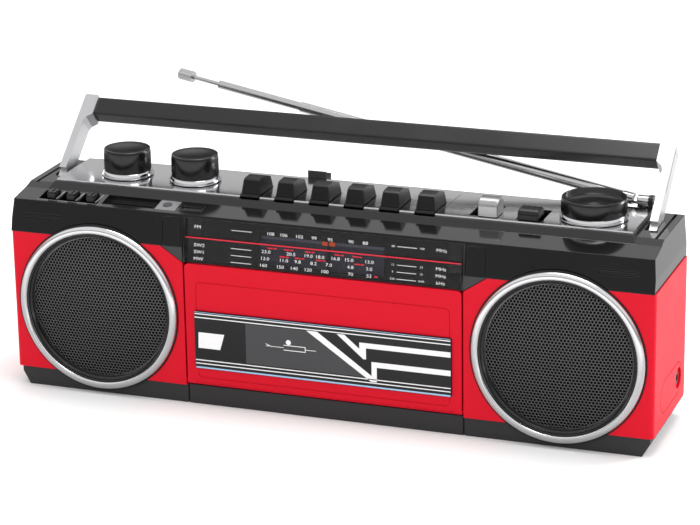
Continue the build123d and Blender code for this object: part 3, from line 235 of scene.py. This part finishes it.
def perforated_tree(material):
    """Lays tiles on a staggered grid inside a circle, welds them and presses them into a dome."""
    tree = bpy.data.node_groups.new("Perforated dome", "GeometryNodeTree")
    face = tree.interface
    face.new_socket(name="Geometry", in_out="OUTPUT", socket_type="NodeSocketGeometry")
    face.new_socket(name="Geometry", in_out="INPUT", socket_type="NodeSocketGeometry")
    for name in ("Radius", "Pitch", "Dome"):
        face.new_socket(name=name, in_out="INPUT", socket_type="NodeSocketFloat")
    face.new_socket(name="Tile", in_out="INPUT", socket_type="NodeSocketObject")
    nodes, links = tree.nodes, tree.links

    def add(kind, values=None, incoming=None, **settings):
        node = nodes.new(kind)
        for key, value in settings.items():
            setattr(node, key, value)
        for key, value in (values or {}).items():
            node.inputs[key].default_value = value
        for key, socket in (incoming or {}).items():
            links.new(socket, node.inputs[key])
        return node

    given = add("NodeGroupInput").outputs
    columns = 2 * floor(grille_radius / grille_pitch) + 1
    rows = 2 * floor(grille_radius / grille_pitch / sqrt(3)) + 1
    width = add("ShaderNodeMath", {1: columns - 1}, {0: given["Pitch"]}, operation="MULTIPLY")
    height = add("ShaderNodeMath", {1: (rows - 1) * sqrt(3)}, {0: given["Pitch"]}, operation="MULTIPLY")
    grid = add("GeometryNodeMeshGrid", {"Vertices X": columns, "Vertices Y": rows},
               {"Size X": width.outputs[0], "Size Y": height.outputs[0]})
    half = add("ShaderNodeMath", {1: 0.5}, {0: given["Pitch"]}, operation="MULTIPLY")
    lift = add("ShaderNodeMath", {1: sqrt(3) / 2}, {0: given["Pitch"]}, operation="MULTIPLY")
    shift = add("ShaderNodeCombineXYZ", None, {"X": half.outputs[0], "Y": lift.outputs[0]})
    staggered = add("GeometryNodeTransform", None, {"Geometry": grid.outputs["Mesh"],
                                                    "Translation": shift.outputs[0]})
    both = add("GeometryNodeJoinGeometry")
    links.new(grid.outputs["Mesh"], both.inputs[0])
    links.new(staggered.outputs[0], both.inputs[0])
    here = add("GeometryNodeInputPosition")
    reach = add("ShaderNodeVectorMath", None, {0: here.outputs[0]}, operation="LENGTH")
    outside = add("ShaderNodeMath", None, {0: reach.outputs["Value"], 1: given["Radius"]},
                  operation="GREATER_THAN")
    kept = add("GeometryNodeDeleteGeometry", None, {"Geometry": both.outputs[0],
                                                    "Selection": outside.outputs[0]}, domain="POINT")
    tile = add("GeometryNodeObjectInfo", None, {"Object": given["Tile"]})
    laid = add("GeometryNodeInstanceOnPoints", None, {"Points": kept.outputs[0],
                                                      "Instance": tile.outputs["Geometry"]})
    real = add("GeometryNodeRealizeInstances", None, {"Geometry": laid.outputs[0]})
    welded = add("GeometryNodeMergeByDistance", {"Distance": 0.01}, {"Geometry": real.outputs[0]})
    place = add("GeometryNodeInputPosition")
    away = add("ShaderNodeVectorMath", None, {0: place.outputs[0]}, operation="LENGTH")
    share = add("ShaderNodeMath", None, {0: away.outputs["Value"], 1: given["Radius"]}, operation="DIVIDE")
    square = add("ShaderNodeMath", {1: 2.0}, {0: share.outputs[0]}, operation="POWER")
    fall = add("ShaderNodeMath", {0: 1.0}, {1: square.outputs[0]}, operation="SUBTRACT")
    rise = add("ShaderNodeMath", None, {0: fall.outputs[0], 1: given["Dome"]}, operation="MULTIPLY")
    offset = add("ShaderNodeCombineXYZ", None, {"Z": rise.outputs[0]})
    domed = add("GeometryNodeSetPosition", None,
                {"Geometry": welded.outputs[0], "Offset": offset.outputs[0]})
    painted = add("GeometryNodeSetMaterial", {"Material": material}, {"Geometry": domed.outputs[0]})
    add("NodeGroupOutput", None, {"Geometry": painted.outputs[0]})
    return tree


grille_enamel = moulded("Black stove enamel on steel", "#68686A", 0.22, 0.9, 0.002, edge=0.12,
                        shader={"Metallic": 0.9})
tile = punched_tile()
bpy.context.scene.collection.objects.link(tile)
carrier = bpy.data.objects.new("grille carrier", bpy.data.meshes.new("grille carrier"))
bpy.context.scene.collection.objects.link(carrier)
tree = perforated_tree(grille_enamel)
modifier = carrier.modifiers.new("Perforated dome", "NODES")
modifier.node_group = tree
settings = {"Radius": grille_radius - 0.7, "Pitch": grille_pitch, "Dome": grille_dome, "Tile": tile}
for socket in tree.interface.items_tree:
    if socket.in_out == "INPUT" and socket.name in settings:
        modifier[socket.identifier] = settings[socket.name]
bpy.context.view_layer.update()
flat = bpy.data.meshes.new_from_object(carrier.evaluated_get(bpy.context.evaluated_depsgraph_get()))
facing_front = Matrix(((1, 0, 0, 0), (0, 0, -1, 0), (0, 1, 0, 0), (0, 0, 0, 1)))
for end, side in (("left", -1), ("right", 1)):
    mesh = bmesh.new()
    mesh.from_mesh(flat)
    seat = Matrix.Translation((side * speaker_x, front_y + grille_dome, speaker_z))
    mesh.transform(Matrix.Scale(mm, 4) @ seat @ facing_front)
    piece(f"grille_{end}", mesh, grille_enamel, "cabinet", [f"speaker_grille_{end}"], 60)
    band = [(grille_radius - 0.9, -2.9), (grille_radius - 0.9, -2.1), (grille_radius, -2.1),
            (grille_radius, -2.9)]
    rim = turned(band, (side * speaker_x, front_y, speaker_z), (0, -1, 0))
    piece(f"grille_rim_{end}", rim, grille_enamel, "cabinet")
bpy.data.objects.remove(carrier)
bpy.data.objects.remove(tile)

# ---- speakers behind the grilles -----------------------------------------------------------------
# Pressed steel baskets and paper cones, seen only as dark shapes through the holes.
cone_paper = moulded("Black pressed paper pulp", "#101010", 0.85, 0.7, 0.05)
finish_nodes(["speakers"], cone_paper)

# ---- upper case: polished black moulding with a leaning band and a near-level strip --------------
# Polished ABS. The strip under the deck mirrors its surroundings, the band and the ears stay dark.
finish_nodes(["upper_case", "card_socket"], gloss_black)

# ---- base and rear: dark grey structural mouldings -----------------------------------------------
# The base tray, the rear cover and the battery door are matt ABS with a coarse spark finish.
matt_grey = moulded("Dark grey ABS, matt spark finish", "#2E2E30", 0.55, 0.7, 0.03)
finish_nodes(["base_tray", "rear_cover", "battery_door"], matt_grey)
rubber = moulded("Black rubber, moulded", "#141414", 0.8, 0.5, 0.03)
finish_nodes(["rubber_feet"], rubber)
zinc = plated("Steel, zinc plated", "#B4B4B0", 0.28, 0.12)
finish_nodes(["case_screws", "battery_contacts", "cassette_holder", "tape_chassis", "drive_motor",
              "mains_transformer", "handle_pivots", "usb_socket"], zinc)

# ---- deck: a bright sheet of lacquered aluminium let into the upper case -------------------------
# Rolled sheet with a fine lengthwise grain under clear lacquer, so it mirrors the knobs softly.


def brushed(name, code, roughness, stretch, coat):
    """Metal with a fine grain drawn out along one axis."""
    material = new_material(name)
    place = add_node(material, "ShaderNodeTexCoord")
    drawn = add_node(material, "ShaderNodeMapping", {"Vector": place.outputs["Object"]})
    drawn.inputs["Scale"].default_value = stretch
    grain = add_node(material, "ShaderNodeTexNoise", {"Vector": drawn.outputs["Vector"]},
                     {"Scale": 1.0, "Detail": 6.0, "Roughness": 0.7})
    gloss = add_node(material, "ShaderNodeMapRange", {"Value": grain.outputs["Fac"]},
                     {"From Min": 0.3, "From Max": 0.7, "To Min": roughness - 0.05,
                      "To Max": roughness + 0.08})
    relief = add_node(material, "ShaderNodeBump", {"Height": grain.outputs["Fac"]},
                      {"Strength": 0.12, "Distance": 0.01 * mm})
    tone = add_node(material, "ShaderNodeMix", {"Factor": grain.outputs["Fac"]}, data_type="RGBA")
    tone.inputs["A"].default_value = [c * 0.82 for c in linear(code)[:3]] + [1.0]
    tone.inputs["B"].default_value = linear(code)
    body = add_node(material, "ShaderNodeBsdfPrincipled",
                    {"Base Color": tone.outputs["Result"], "Roughness": gloss.outputs["Result"],
                     "Normal": relief.outputs["Normal"]},
                    {"Metallic": 1.0, "Coat Weight": coat, "Coat Roughness": 0.05})
    add_node(material, "ShaderNodeOutputMaterial", {"Surface": body.outputs["BSDF"]})
    return material


deck_sheet = brushed("Aluminium sheet, rolled and lacquered", "#D4D4D6", 0.14, (40, 2500, 2500), 0.4)
finish_nodes(["deck_plate"], deck_sheet)

# ---- knobs: volume, tone and tuning --------------------------------------------------------------
# Turned-look phenolic knobs with fine upright ribs, a raised rim and a dished top, over a chromed skirt.
deck_top = 117.2
skirt_low, skirt_high = deck_top + 0.4, deck_top + 3.4
knob_black = moulded("Black ABS, satin knob", "#121213", 0.22, 0.8, 0.004, edge=0.15)


def knob_profile(radius, top, dish, rim):
    """Half-section from the axis at the top, out over the rim and down the ribbed side."""
    side = [(radius - 0.2, top - 1.6), (radius, top - 2.2), (radius, skirt_high + 0.4),
            (radius - 0.4, skirt_high)]
    crown = [(radius - rim + 0.1, top), (radius - 0.5, top - 0.05), (radius - 0.25, top - 0.3)]
    if dish > 2:
        floor_low = top - dish
        bowl = [(0.0, floor_low + 0.25), (0.5, floor_low + 0.2), (0.9, floor_low),
                (radius - rim - 0.9, floor_low), (radius - rim - 0.5, floor_low + 0.4),
                (radius - rim - 0.3, top - 0.3), (radius - rim, top)]
    else:
        bowl = [(t * (radius - rim - 0.5), top - dish * (1 - t * t)) for t in (0.0, 0.25, 0.5, 0.75, 1.0)]
    return bowl + crown + side + [(0.0, skirt_high)]


def skirt_profile(radius):
    return [(radius - 4.0, skirt_low), (radius - 0.4, skirt_low), (radius, skirt_low + 0.5),
            (radius - 0.1, skirt_low + 1.2), (radius - 0.8, skirt_high - 0.3), (radius - 1.2, skirt_high),
            (radius - 4.0, skirt_high)]


for name, x, y, radius, skirt, top, dish, rim in (
        ("volume", -132.1, 8.6, 13.3, 14.7, 133.0, 0.9, 1.3),
        ("tone", -90.6, 8.6, 13.3, 14.7, 133.0, 0.9, 1.3),
        ("tuning", 141.2, 7.0, 17.8, 18.5, 129.3, 3.4, 0.9)):
    profile = knob_profile(radius, top, dish, rim)
    ribbed = range(len(profile) - 4, len(profile) - 2)
    shape = turned(profile, (x, y, 0), (0, 0, 1), segments=240, rib_depth=0.22, ribbed=ribbed)
    piece(f"{name}_knob_body", shape, knob_black, f"{name}_control", [f"{name}_knob"], 50)
    piece(f"{name}_knob_skirt", turned(skirt_profile(skirt), (x, y, 0), (0, 0, 1)), bright_chrome,
          f"{name}_control", [f"{name}_skirt"], 50)

# ---- keys and switches ---------------------------------------------------------------------------
# Satin black ABS keys, tapered, with a lip at the front. The slide on the left is brushed aluminium.
key_black = moulded("Black ABS, satin key", "#101011", 0.24, 0.7, 0.004, edge=0.5, shader={"IOR": 1.42})
keys = ["pause_key", "stop_key", "forward_key", "rewind_key", "play_key", "record_key"]
finish_nodes(keys + ["band_slide", "sound_switch", "mode_switch", "source_switch"], key_black)
brushed_slide = brushed("Aluminium, brushed and clear anodised", "#B4B4B4", 0.30, (1800, 1800, 60), 0.0)
finish_nodes(["function_slide"], brushed_slide)

# ---- handle: two satin-plated arms and a black grip ---------------------------------------------------
# Die-cast arms, satin plated. The grip is a satin black extrusion held between their heads.
satin_zinc = plated("Zinc die casting, satin plated", "#C8C8CA", 0.32, 0.1)
finish_nodes(["handle_arm_left", "handle_arm_right"], satin_zinc)
grip_black = moulded("Black ABS, grip moulding", "#161617", 0.26, 0.6, 0.006, edge=1.6)
finish_nodes(["handle_grip"], grip_black)

# ---- antenna -------------------------------------------------------------------------------------
# Drawn brass tubes, nickel plated, hinged on a plated brass turret in a black nylon bracket.
nickel = plated("Brass, nickel plated", "#C4C4C4", 0.14, 0.10)
finish_nodes(["antenna_tube", "antenna_middle", "antenna_tip", "antenna_root", "antenna_swivel"], nickel)
finish_nodes(["antenna_bracket", "line_jack", "mains_inlet"], knob_black)

# ---- tape mechanism ------------------------------------------------------------------------------
# Turned brass flywheel and pulley, off-white acetal spindles.
brass = plated("Brass, turned", "#C9A24E", 0.22, 0.12)
finish_nodes(["capstan_flywheel", "motor_pulley"], brass)
acetal = moulded("Acetal, natural white", "#DDD8CC", 0.4, 0.6, 0.01)
finish_nodes(["supply_spindle", "takeup_spindle"], acetal)
green_board = moulded("Circuit board, green lacquer", "#1E4A2A", 0.35, 0.5, 0.01)
finish_nodes(["main_board"], green_board)

# ---- dial: printed window over a blue-grey scale with an orange pointer --------------------------
# Lightly smoked acrylic window, printed in white and red on its face and blacked out behind except
# for the scale's own opening.
dial_foot, dial_lean = 83.4, 3.6 / 26.6


def on_dial(x, z, out=0.0):
    """A point on the dial window's face; out is measured towards the front."""
    return Vector((x, front_y + dial_lean * (z - dial_foot) - out, z))


def on_door(x, z, out=0.0):
    """A point on the cassette window's face."""
    return Vector((x, front_y - 1.2 - out, z))


def add_prism(mesh, outline, surface, low, high):
    """A thin plate with this outline on a surface, between two heights above it."""
    under = [mesh.verts.new(surface(x, z, low) * mm) for x, z in outline]
    over = [mesh.verts.new(surface(x, z, high) * mm) for x, z in outline]
    mesh.faces.new(over)
    mesh.faces.new(list(reversed(under)))
    for i in range(len(outline)):
        j = (i + 1) % len(outline)
        mesh.faces.new((under[i], under[j], over[j], over[i]))


def bar(x0, x1, z0, z1):
    return [(x0, z0), (x1, z0), (x1, z1), (x0, z1)]


def printed(name, outlines, surface, material, body, low=0.0, high=0.04):
    mesh = bmesh.new()
    for outline in outlines:
        add_prism(mesh, outline, surface, low, high)
    bmesh.ops.recalc_face_normals(mesh, faces=mesh.faces)
    return piece(name, mesh, material, body)


def add_words(mesh, entries, surface, widen=1.25):
    """Numerals and units as thin raised print, centred on their places."""
    for text, x, z, size in entries:
        curve = bpy.data.curves.new("print", "FONT")
        curve.body = text
        curve.size = size
        curve.align_x = "CENTER"
        curve.align_y = "CENTER"
        curve.resolution_u = 3
        curve.extrude = 0.02
        curve.offset = -0.012
        holder = bpy.data.objects.new("print", curve)
        bpy.context.scene.collection.objects.link(holder)
        bpy.context.view_layer.update()
        drawn = holder.evaluated_get(bpy.context.evaluated_depsgraph_get())
        flat_print = bpy.data.meshes.new_from_object(drawn)
        for vertex in flat_print.vertices:
            vertex.co = surface(x + vertex.co.x * widen, z + vertex.co.y, 0.03 + vertex.co.z) * mm
        mesh.from_mesh(flat_print)
        bpy.data.objects.remove(holder)


window_acrylic = new_material("Acrylic, smoked and polished")
pane = add_node(window_acrylic, "ShaderNodeBsdfPrincipled", None,
                {"Base Color": linear("#08080A"), "Roughness": 0.05, "Alpha": 0.30, "IOR": 1.49})
add_node(window_acrylic, "ShaderNodeOutputMaterial", {"Surface": pane.outputs["BSDF"]})
finish_nodes(["dial_window"], window_acrylic)
scale_ink = moulded("Scale card, blue-grey ink", "#4E4E62", 0.6, 0.4, 0.005)
finish_nodes(["dial_scale"], scale_ink)

mask_ink = moulded("Blackout ink", "#121213", 0.5, 0.5, 0.004)
opening = (-36.8, 35.6, 85.2, 101.9)
x0, x1, z0, z1 = opening
window_half, window_low, window_high = 79.5, 83.7, 108.2
frames = [bar(-window_half, x0, window_low, window_high), bar(x1, window_half, window_low, window_high),
          bar(x0, x1, window_low, z0), bar(x0, x1, z1, window_high)]
printed("dial_mask", frames, on_dial, mask_ink, "cabinet", -2.16, -2.04)
strip_ink = moulded("Scale card, pale strip", "#8A8AA0", 0.5, 0.4, 0.005)
printed("dial_strip", [bar(x0, x1, 99.2, 101.8)], on_dial, strip_ink, "cabinet",
        -5.38, -5.30)

white_ink = moulded("White screen print", "#F4F4F4", 0.5, 0.3, 0.003, shade=0.95, edge=0.02)
red_ink = moulded("Red screen print", "#E01030", 0.5, 0.3, 0.003)
rows = {
    103.8: (("108", -29.5), ("106", -21.8), ("102", -12.7), ("99", -4.1),
            ("95", 5.2), ("90", 17.1), ("88", 25.3)),
    93.8: (("23.0", -31.8), ("20.5", -17.2), ("19.0", -7.2), ("18.0", -0.5),
           ("16.8", 8.4), ("15.0", 16.2), ("13.0", 27.8)),
    90.0: (("13.0", -32.4), ("11.0", -21.4), ("9.8", -13.2), ("8.2", -4.0),
           ("7.0", 4.8), ("4.8", 17.2), ("3.0", 27.9)),
    86.2: (("160", -33.3), ("150", -23.4), ("140", -15.3), ("120", -7.2),
           ("100", 2.5), ("70", 17.4), ("53", 28.0)),
}
units = (("FM", -72.4, 103.8, "MHz", "88", "108"), ("SW2", -71.2, 93.8, "MHz", "13", "23"),
         ("SW1", -71.2, 90.0, "MHz", "3", "13"), ("MW", -71.6, 86.2, "kHz", "530", "1600"))
words = [(text, x, z, 2.5) for z, row in rows.items() for text, x in row]
for band, x, z, unit, low, high in units:
    words += [(band, x, z, 2.6), (unit, 68.4, z, 2.5), (low, 41.2, z, 1.5), (high, 57.4, z, 1.5)]
mesh = bmesh.new()
add_words(mesh, words, on_dial)
for z in (row[2] for row in units):
    add_prism(mesh, bar(43.6, 54.6, z - 0.14, z + 0.14), on_dial, 0.0, 0.05)
    add_prism(mesh, bar(-52.4, -40.4, z - 0.14, z + 0.14), on_dial, 0.0, 0.05)
piece("dial_numerals", mesh, white_ink, "cabinet")
dashes = [(x, 96.0) for x in (-28.4, -18.7, -6.3, 10.5, 20.8)]
dashes += [(x, 92.0) for x in (-21.2, -12.3, 0.0, 22.1)]
outlines = [bar(-79.6, 79.6, 97.4, 98.1)]
for x, z in dashes:
    outlines += [bar(x - 2.6, x + 0.6, z - 0.35, z + 0.35), bar(x + 1.1, x + 2.8, z - 0.35, z + 0.35)]
outlines.append(bar(31.0, 33.0, 85.8, 86.6))
printed("dial_red_print", outlines, on_dial, red_ink, "cabinet")
orange_glow = moulded("Orange acetal, painted glow", "#FF6A38", 0.4, 0.4, 0.005)
# Painted glow: a faint orange emission makes the pointer flags shine, though they are no lamp.
orange_glow.node_tree.nodes["Principled BSDF"].inputs["Emission Color"].default_value = linear("#FF5A28")
orange_glow.node_tree.nodes["Principled BSDF"].inputs["Emission Strength"].default_value = 0.35
flags = [bar(-0.4, 2.6, 99.3, 101.7), bar(3.5, 6.8, 99.3, 101.7)]
printed("pointer_flags", flags, on_dial, orange_glow, "pointer", -4.0, -3.2)
stem = bar(2.5, 3.9, 85.6, 106.3)
printed("pointer_stem", [stem], on_dial, mask_ink, "pointer", -4.2, -3.4)
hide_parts("dial_pointer")

# ---- cassette window: smoked acrylic panel with printed chevrons ---------------------------------
# Printed on the face in grey and white, with fine lines along its long edges; pale blue bars at the very
# edges are a painted glint on the bevelled acrylic.
smoke_dark = moulded("Smoked acrylic, dark panel", "#242426", 0.16, 1.2, 0.003, shader={"IOR": 1.40})
finish_nodes(["door_window"], smoke_dark)
smoke_pale = moulded("Grey screen print", "#48484A", 0.2, 0.9, 0.003, shader={"IOR": 1.40})
pale_part = [(-44.2, 28.6), (25.6, 28.6), (-8.3, 51.8), (-44.2, 51.8)]
printed("window_field", [pale_part], on_door, smoke_pale, "door", 0.0, 0.02)
smoke_block = moulded("Charcoal screen print", "#1E1E20", 0.2, 0.9, 0.003, shader={"IOR": 1.40})
printed("window_block", [bar(-74.4, -44.2, 28.6, 51.8)], on_door, smoke_block, "door",
        0.0, 0.02)
chevron = [(-8.3, 51.8), (-2.0, 51.8), (29.3, 29.6), (29.3, 37.8), (74.4, 37.8), (74.4, 34.7),
           (32.3, 34.7), (32.3, 26.2), (29.0, 26.2)]
inner_chevron = [(9.4, 51.8), (13.8, 51.8), (22.4, 44.6), (22.4, 48.3), (74.4, 48.3), (74.4, 45.3),
                 (26.2, 45.3), (26.2, 38.9), (24.6, 38.9)]
tag = [(-72.3, 43.9), (-56.9, 43.9), (-59.6, 34.7), (-72.6, 34.7)]
arrow = [(-32.9, 41.9), (-28.6, 40.4), (-28.6, 39.9), (-30.2, 40.2)]
frame_line = [(-21.8, 38.8), (-8.9, 38.8), (-8.9, 42.0), (-21.8, 42.0), (-21.8, 41.6), (-9.3, 41.6),
              (-9.3, 39.2), (-21.8, 39.2)]
leads = [bar(-32.2, -21.8, 40.2, 40.5), bar(-8.9, -2.8, 40.2, 40.5)]
marks = [chevron, inner_chevron, tag, arrow, frame_line, *leads]
marks.append([(-18.9 + 1.5 * cos(pi / 8 * i), 43.6 + 1.5 * sin(pi / 8 * i)) for i in range(16)])
for z in (54.7, 52.6, 27.6, 25.6):
    marks.append(bar(-74.4, 74.4, z - 0.28, z + 0.28))
printed("window_print", marks, on_door, white_ink, "door", 0.02, 0.05)
# Painted glint: pale blue bars along the top and bottom edges stand in for light caught on the bevelled
# acrylic edges.
edge_glint = moulded("Acrylic edge, painted glint", "#A8CFEF", 0.12, 1.0, 0.002)
edges = [bar(-74.3, 74.3, 22.8, 23.7), bar(-74.3, 74.3, 55.55, 55.85)]
printed("window_edges", edges, on_door, edge_glint, "door", 0.0, 0.05)

# ---- deck and strip furniture --------------------------------------------------------------------
# Small moulded and printed details on the glossy strip and the deck: the ridges between the switches and
# the strip's front edge, shown only as painted highlights in light grey, a label foil with its indicator,
# the rim and tongue of the USB socket, and fine lines by the slides.
strip_foot, strip_top = (-31.4, 110.0), (-16.8, 112.5)
strip_slope = (strip_top[1] - strip_foot[1]) / (strip_top[0] - strip_foot[0])


def on_strip(x, y, out=0.0):
    """A point on the glossy strip above the band; out is upwards."""
    return Vector((x, y, strip_foot[1] + strip_slope * (y - strip_foot[0]) + out))


def on_deck(x, y, out=0.0):
    return Vector((x, y, deck_top + out))


# Painted highlight: thin light grey lines stand in for the light caught by the ridges between the switches
# and along the strip's front edge.
ridge_highlight = moulded("Grey lines, painted ridge highlights", "#8E8E90", 0.35, 0.4, 0.003)
lines = [bar(-171.0, -131.0, -29.9, -29.5)]
for x in (-160.4, -148.4, -136.4):
    lines.append([(x, -27.5), (x + 0.8, -27.5), (x + 1.8, -18.2), (x + 1.0, -18.2)])
printed("strip_lines", lines, on_strip, ridge_highlight, "cabinet", 0.0, 0.05)
plate_grey = moulded("Silver label foil", "#77777A", 0.25, 0.6, 0.003)
label = [bar(-99.8, -87.6, -28.6, -17.6), bar(-98.5, -88.0, -17.9, -17.8)]
printed("strip_label", label, on_strip, plate_grey, "cabinet", 0.0, 0.05)
indicator = [(-94.4 + 2.6 * cos(pi / 12 * i), -22.4 + 2.6 * sin(pi / 12 * i)) for i in range(24)]
printed("indicator", [indicator], on_strip, gloss_black, "cabinet", 0.05, 0.3)
rim_x, rim_y = -79.5, -23.4
rim = [bar(rim_x - 7.1, rim_x + 7.1, rim_y - 3.0, rim_y - 2.3),
       bar(rim_x - 7.1, rim_x + 7.1, rim_y + 2.3, rim_y + 3.0),
       bar(rim_x - 7.1, rim_x - 6.4, rim_y - 2.3, rim_y + 2.3),
       bar(rim_x + 6.4, rim_x + 7.1, rim_y - 2.3, rim_y + 2.3),
       bar(rim_x - 5.5, rim_x + 5.5, rim_y + 0.2, rim_y + 1.9)]
printed("usb_rim", rim, on_strip, bright_chrome, "cabinet", -0.5, 0.15)
deck_line = moulded("Dark engraved line", "#3A3A3C", 0.5, 0.5, 0.003)
slide_lines = [bar(59.8, 60.1, -2, 27), bar(62, 72, 0, 0.5), bar(62, 70, 2.2, 2.7)]
printed("deck_lines", slide_lines, on_deck, deck_line, "cabinet", 0.0, 0.03)

# ---- stage: white paper sweep, large soft light and the camera -----------------------------------
# White paper under a white tent. What plated and polished parts mirror is greyer low down and just in
# front, so that they have something darker to show.
floor_mesh = bpy.data.meshes.new("floor")
floor_mesh.from_pydata([(-6, -6, 0), (6, -6, 0), (6, 9, 0), (-6, 9, 0)], [], [(0, 1, 2, 3)])
paper = moulded("White paper backdrop", "#FFFFFF", 0.9, 2.0, 0.01, shade=0.99)
seen = paper.node_tree.nodes["Principled BSDF"]
spot = add_node(paper, "ShaderNodeTexCoord")
apart = add_node(paper, "ShaderNodeSeparateXYZ", {"Vector": spot.outputs["Object"]})
depth = add_node(paper, "ShaderNodeMapRange", {"Value": apart.outputs["Y"]},
                 {"From Min": -0.5, "From Max": 0.5})
tones = add_node(paper, "ShaderNodeValToRGB", {"Fac": depth.outputs["Result"]})
for position, code in ((0.20, "#FFFFFF"), (0.36, "#B8B8B8"), (0.58, "#C0C0C0")):
    tones.color_ramp.elements.new(position).color = linear(code)
tones.color_ramp.elements[0].color = linear("#FFFFFF")
tones.color_ramp.elements[-1].color = linear("#C8C8C8")
mirrored = add_node(paper, "ShaderNodeBsdfDiffuse", {"Color": tones.outputs["Color"]})
rays = add_node(paper, "ShaderNodeLightPath")
mixed = add_node(paper, "ShaderNodeMixShader", {"Fac": rays.outputs["Is Glossy Ray"]})
paper.node_tree.links.new(seen.outputs[0], mixed.inputs[1])
paper.node_tree.links.new(mirrored.outputs[0], mixed.inputs[2])
paper.node_tree.links.new(mixed.outputs[0], paper.node_tree.nodes["Material Output"].inputs["Surface"])
floor_mesh.materials.append(paper)
floor = bpy.data.objects.new("floor", floor_mesh)
bpy.context.scene.collection.objects.link(floor)

world = bpy.data.worlds.new("tent")
bpy.context.scene.world = world
world.use_nodes = True
tree = world.node_tree
tree.nodes.clear()
place = tree.nodes.new("ShaderNodeTexCoord")
parts = tree.nodes.new("ShaderNodeSeparateXYZ")
tree.links.new(place.outputs["Generated"], parts.inputs[0])
bands = tree.nodes.new("ShaderNodeValToRGB")
tree.links.new(parts.outputs["Z"], bands.inputs["Fac"])
stops = ((0.0, "#FFFFFF"), (0.02, "#8C8C8C"), (0.14, "#8A8A8A"), (0.30, "#D8D8D8"), (0.50, "#FFFFFF"),
         (1.0, "#E8E8E8"))
ramp = bands.color_ramp
ramp.elements[0].position, ramp.elements[0].color = stops[0][0], linear(stops[0][1])
ramp.elements[1].position, ramp.elements[1].color = stops[-1][0], linear(stops[-1][1])
for position, code in stops[1:-1]:
    stop = ramp.elements.new(position)
    stop.color = linear(code)
tent = tree.nodes.new("ShaderNodeBackground")
tree.links.new(bands.outputs["Color"], tent.inputs["Color"])
tent.inputs["Strength"].default_value = 1.0
plain = tree.nodes.new("ShaderNodeBackground")
plain.inputs["Color"].default_value = linear("#FFFFFF")
plain.inputs["Strength"].default_value = 1.0
rays = tree.nodes.new("ShaderNodeLightPath")
blend = tree.nodes.new("ShaderNodeMixShader")
tree.links.new(rays.outputs["Is Glossy Ray"], blend.inputs["Fac"])
tree.links.new(plain.outputs[0], blend.inputs[1])
tree.links.new(tent.outputs[0], blend.inputs[2])
sky = tree.nodes.new("ShaderNodeOutputWorld")
tree.links.new(blend.outputs[0], sky.inputs["Surface"])
bpy.context.scene.view_settings.view_transform = "Standard"


def softbox(name, place, aim, width, height, power):
    lamp = bpy.data.lights.new(name, "AREA")
    lamp.shape = "RECTANGLE"
    lamp.size = width
    lamp.size_y = height
    lamp.energy = power
    holder = bpy.data.objects.new(name, lamp)
    holder.location = place
    holder.rotation_euler = (Vector(aim) - Vector(place)).to_track_quat("-Z", "Y").to_euler()
    bpy.context.scene.collection.objects.link(holder)


softbox("overhead", (0.1, 0.1, 1.3), (0, 0, 0.05), 1.0, 0.5, 9)
softbox("right side", (1.2, 0.9, 0.35), (0.15, 0, 0.08), 0.5, 0.8, 18)

eye = Vector((0.50141, -1.34006, 0.55562))
turn, tilt, roll = radians(20.349), radians(18.382), radians(-0.929)
forward = Vector((-sin(turn) * cos(tilt), cos(turn) * cos(tilt), -sin(tilt)))
level = Vector((cos(turn), sin(turn), 0))
upright = level.cross(forward)
across = level * cos(roll) + upright * sin(roll)
up = upright * cos(roll) - level * sin(roll)
lens = bpy.data.cameras.new("camera")
lens.sensor_width = 36.0
lens.lens = 140.26
camera = bpy.data.objects.new("camera", lens)
columns = Matrix((across, up, -forward)).transposed().to_4x4()
camera.matrix_world = Matrix.Translation(eye) @ columns
bpy.context.scene.collection.objects.link(camera)
bpy.context.scene.camera = camera
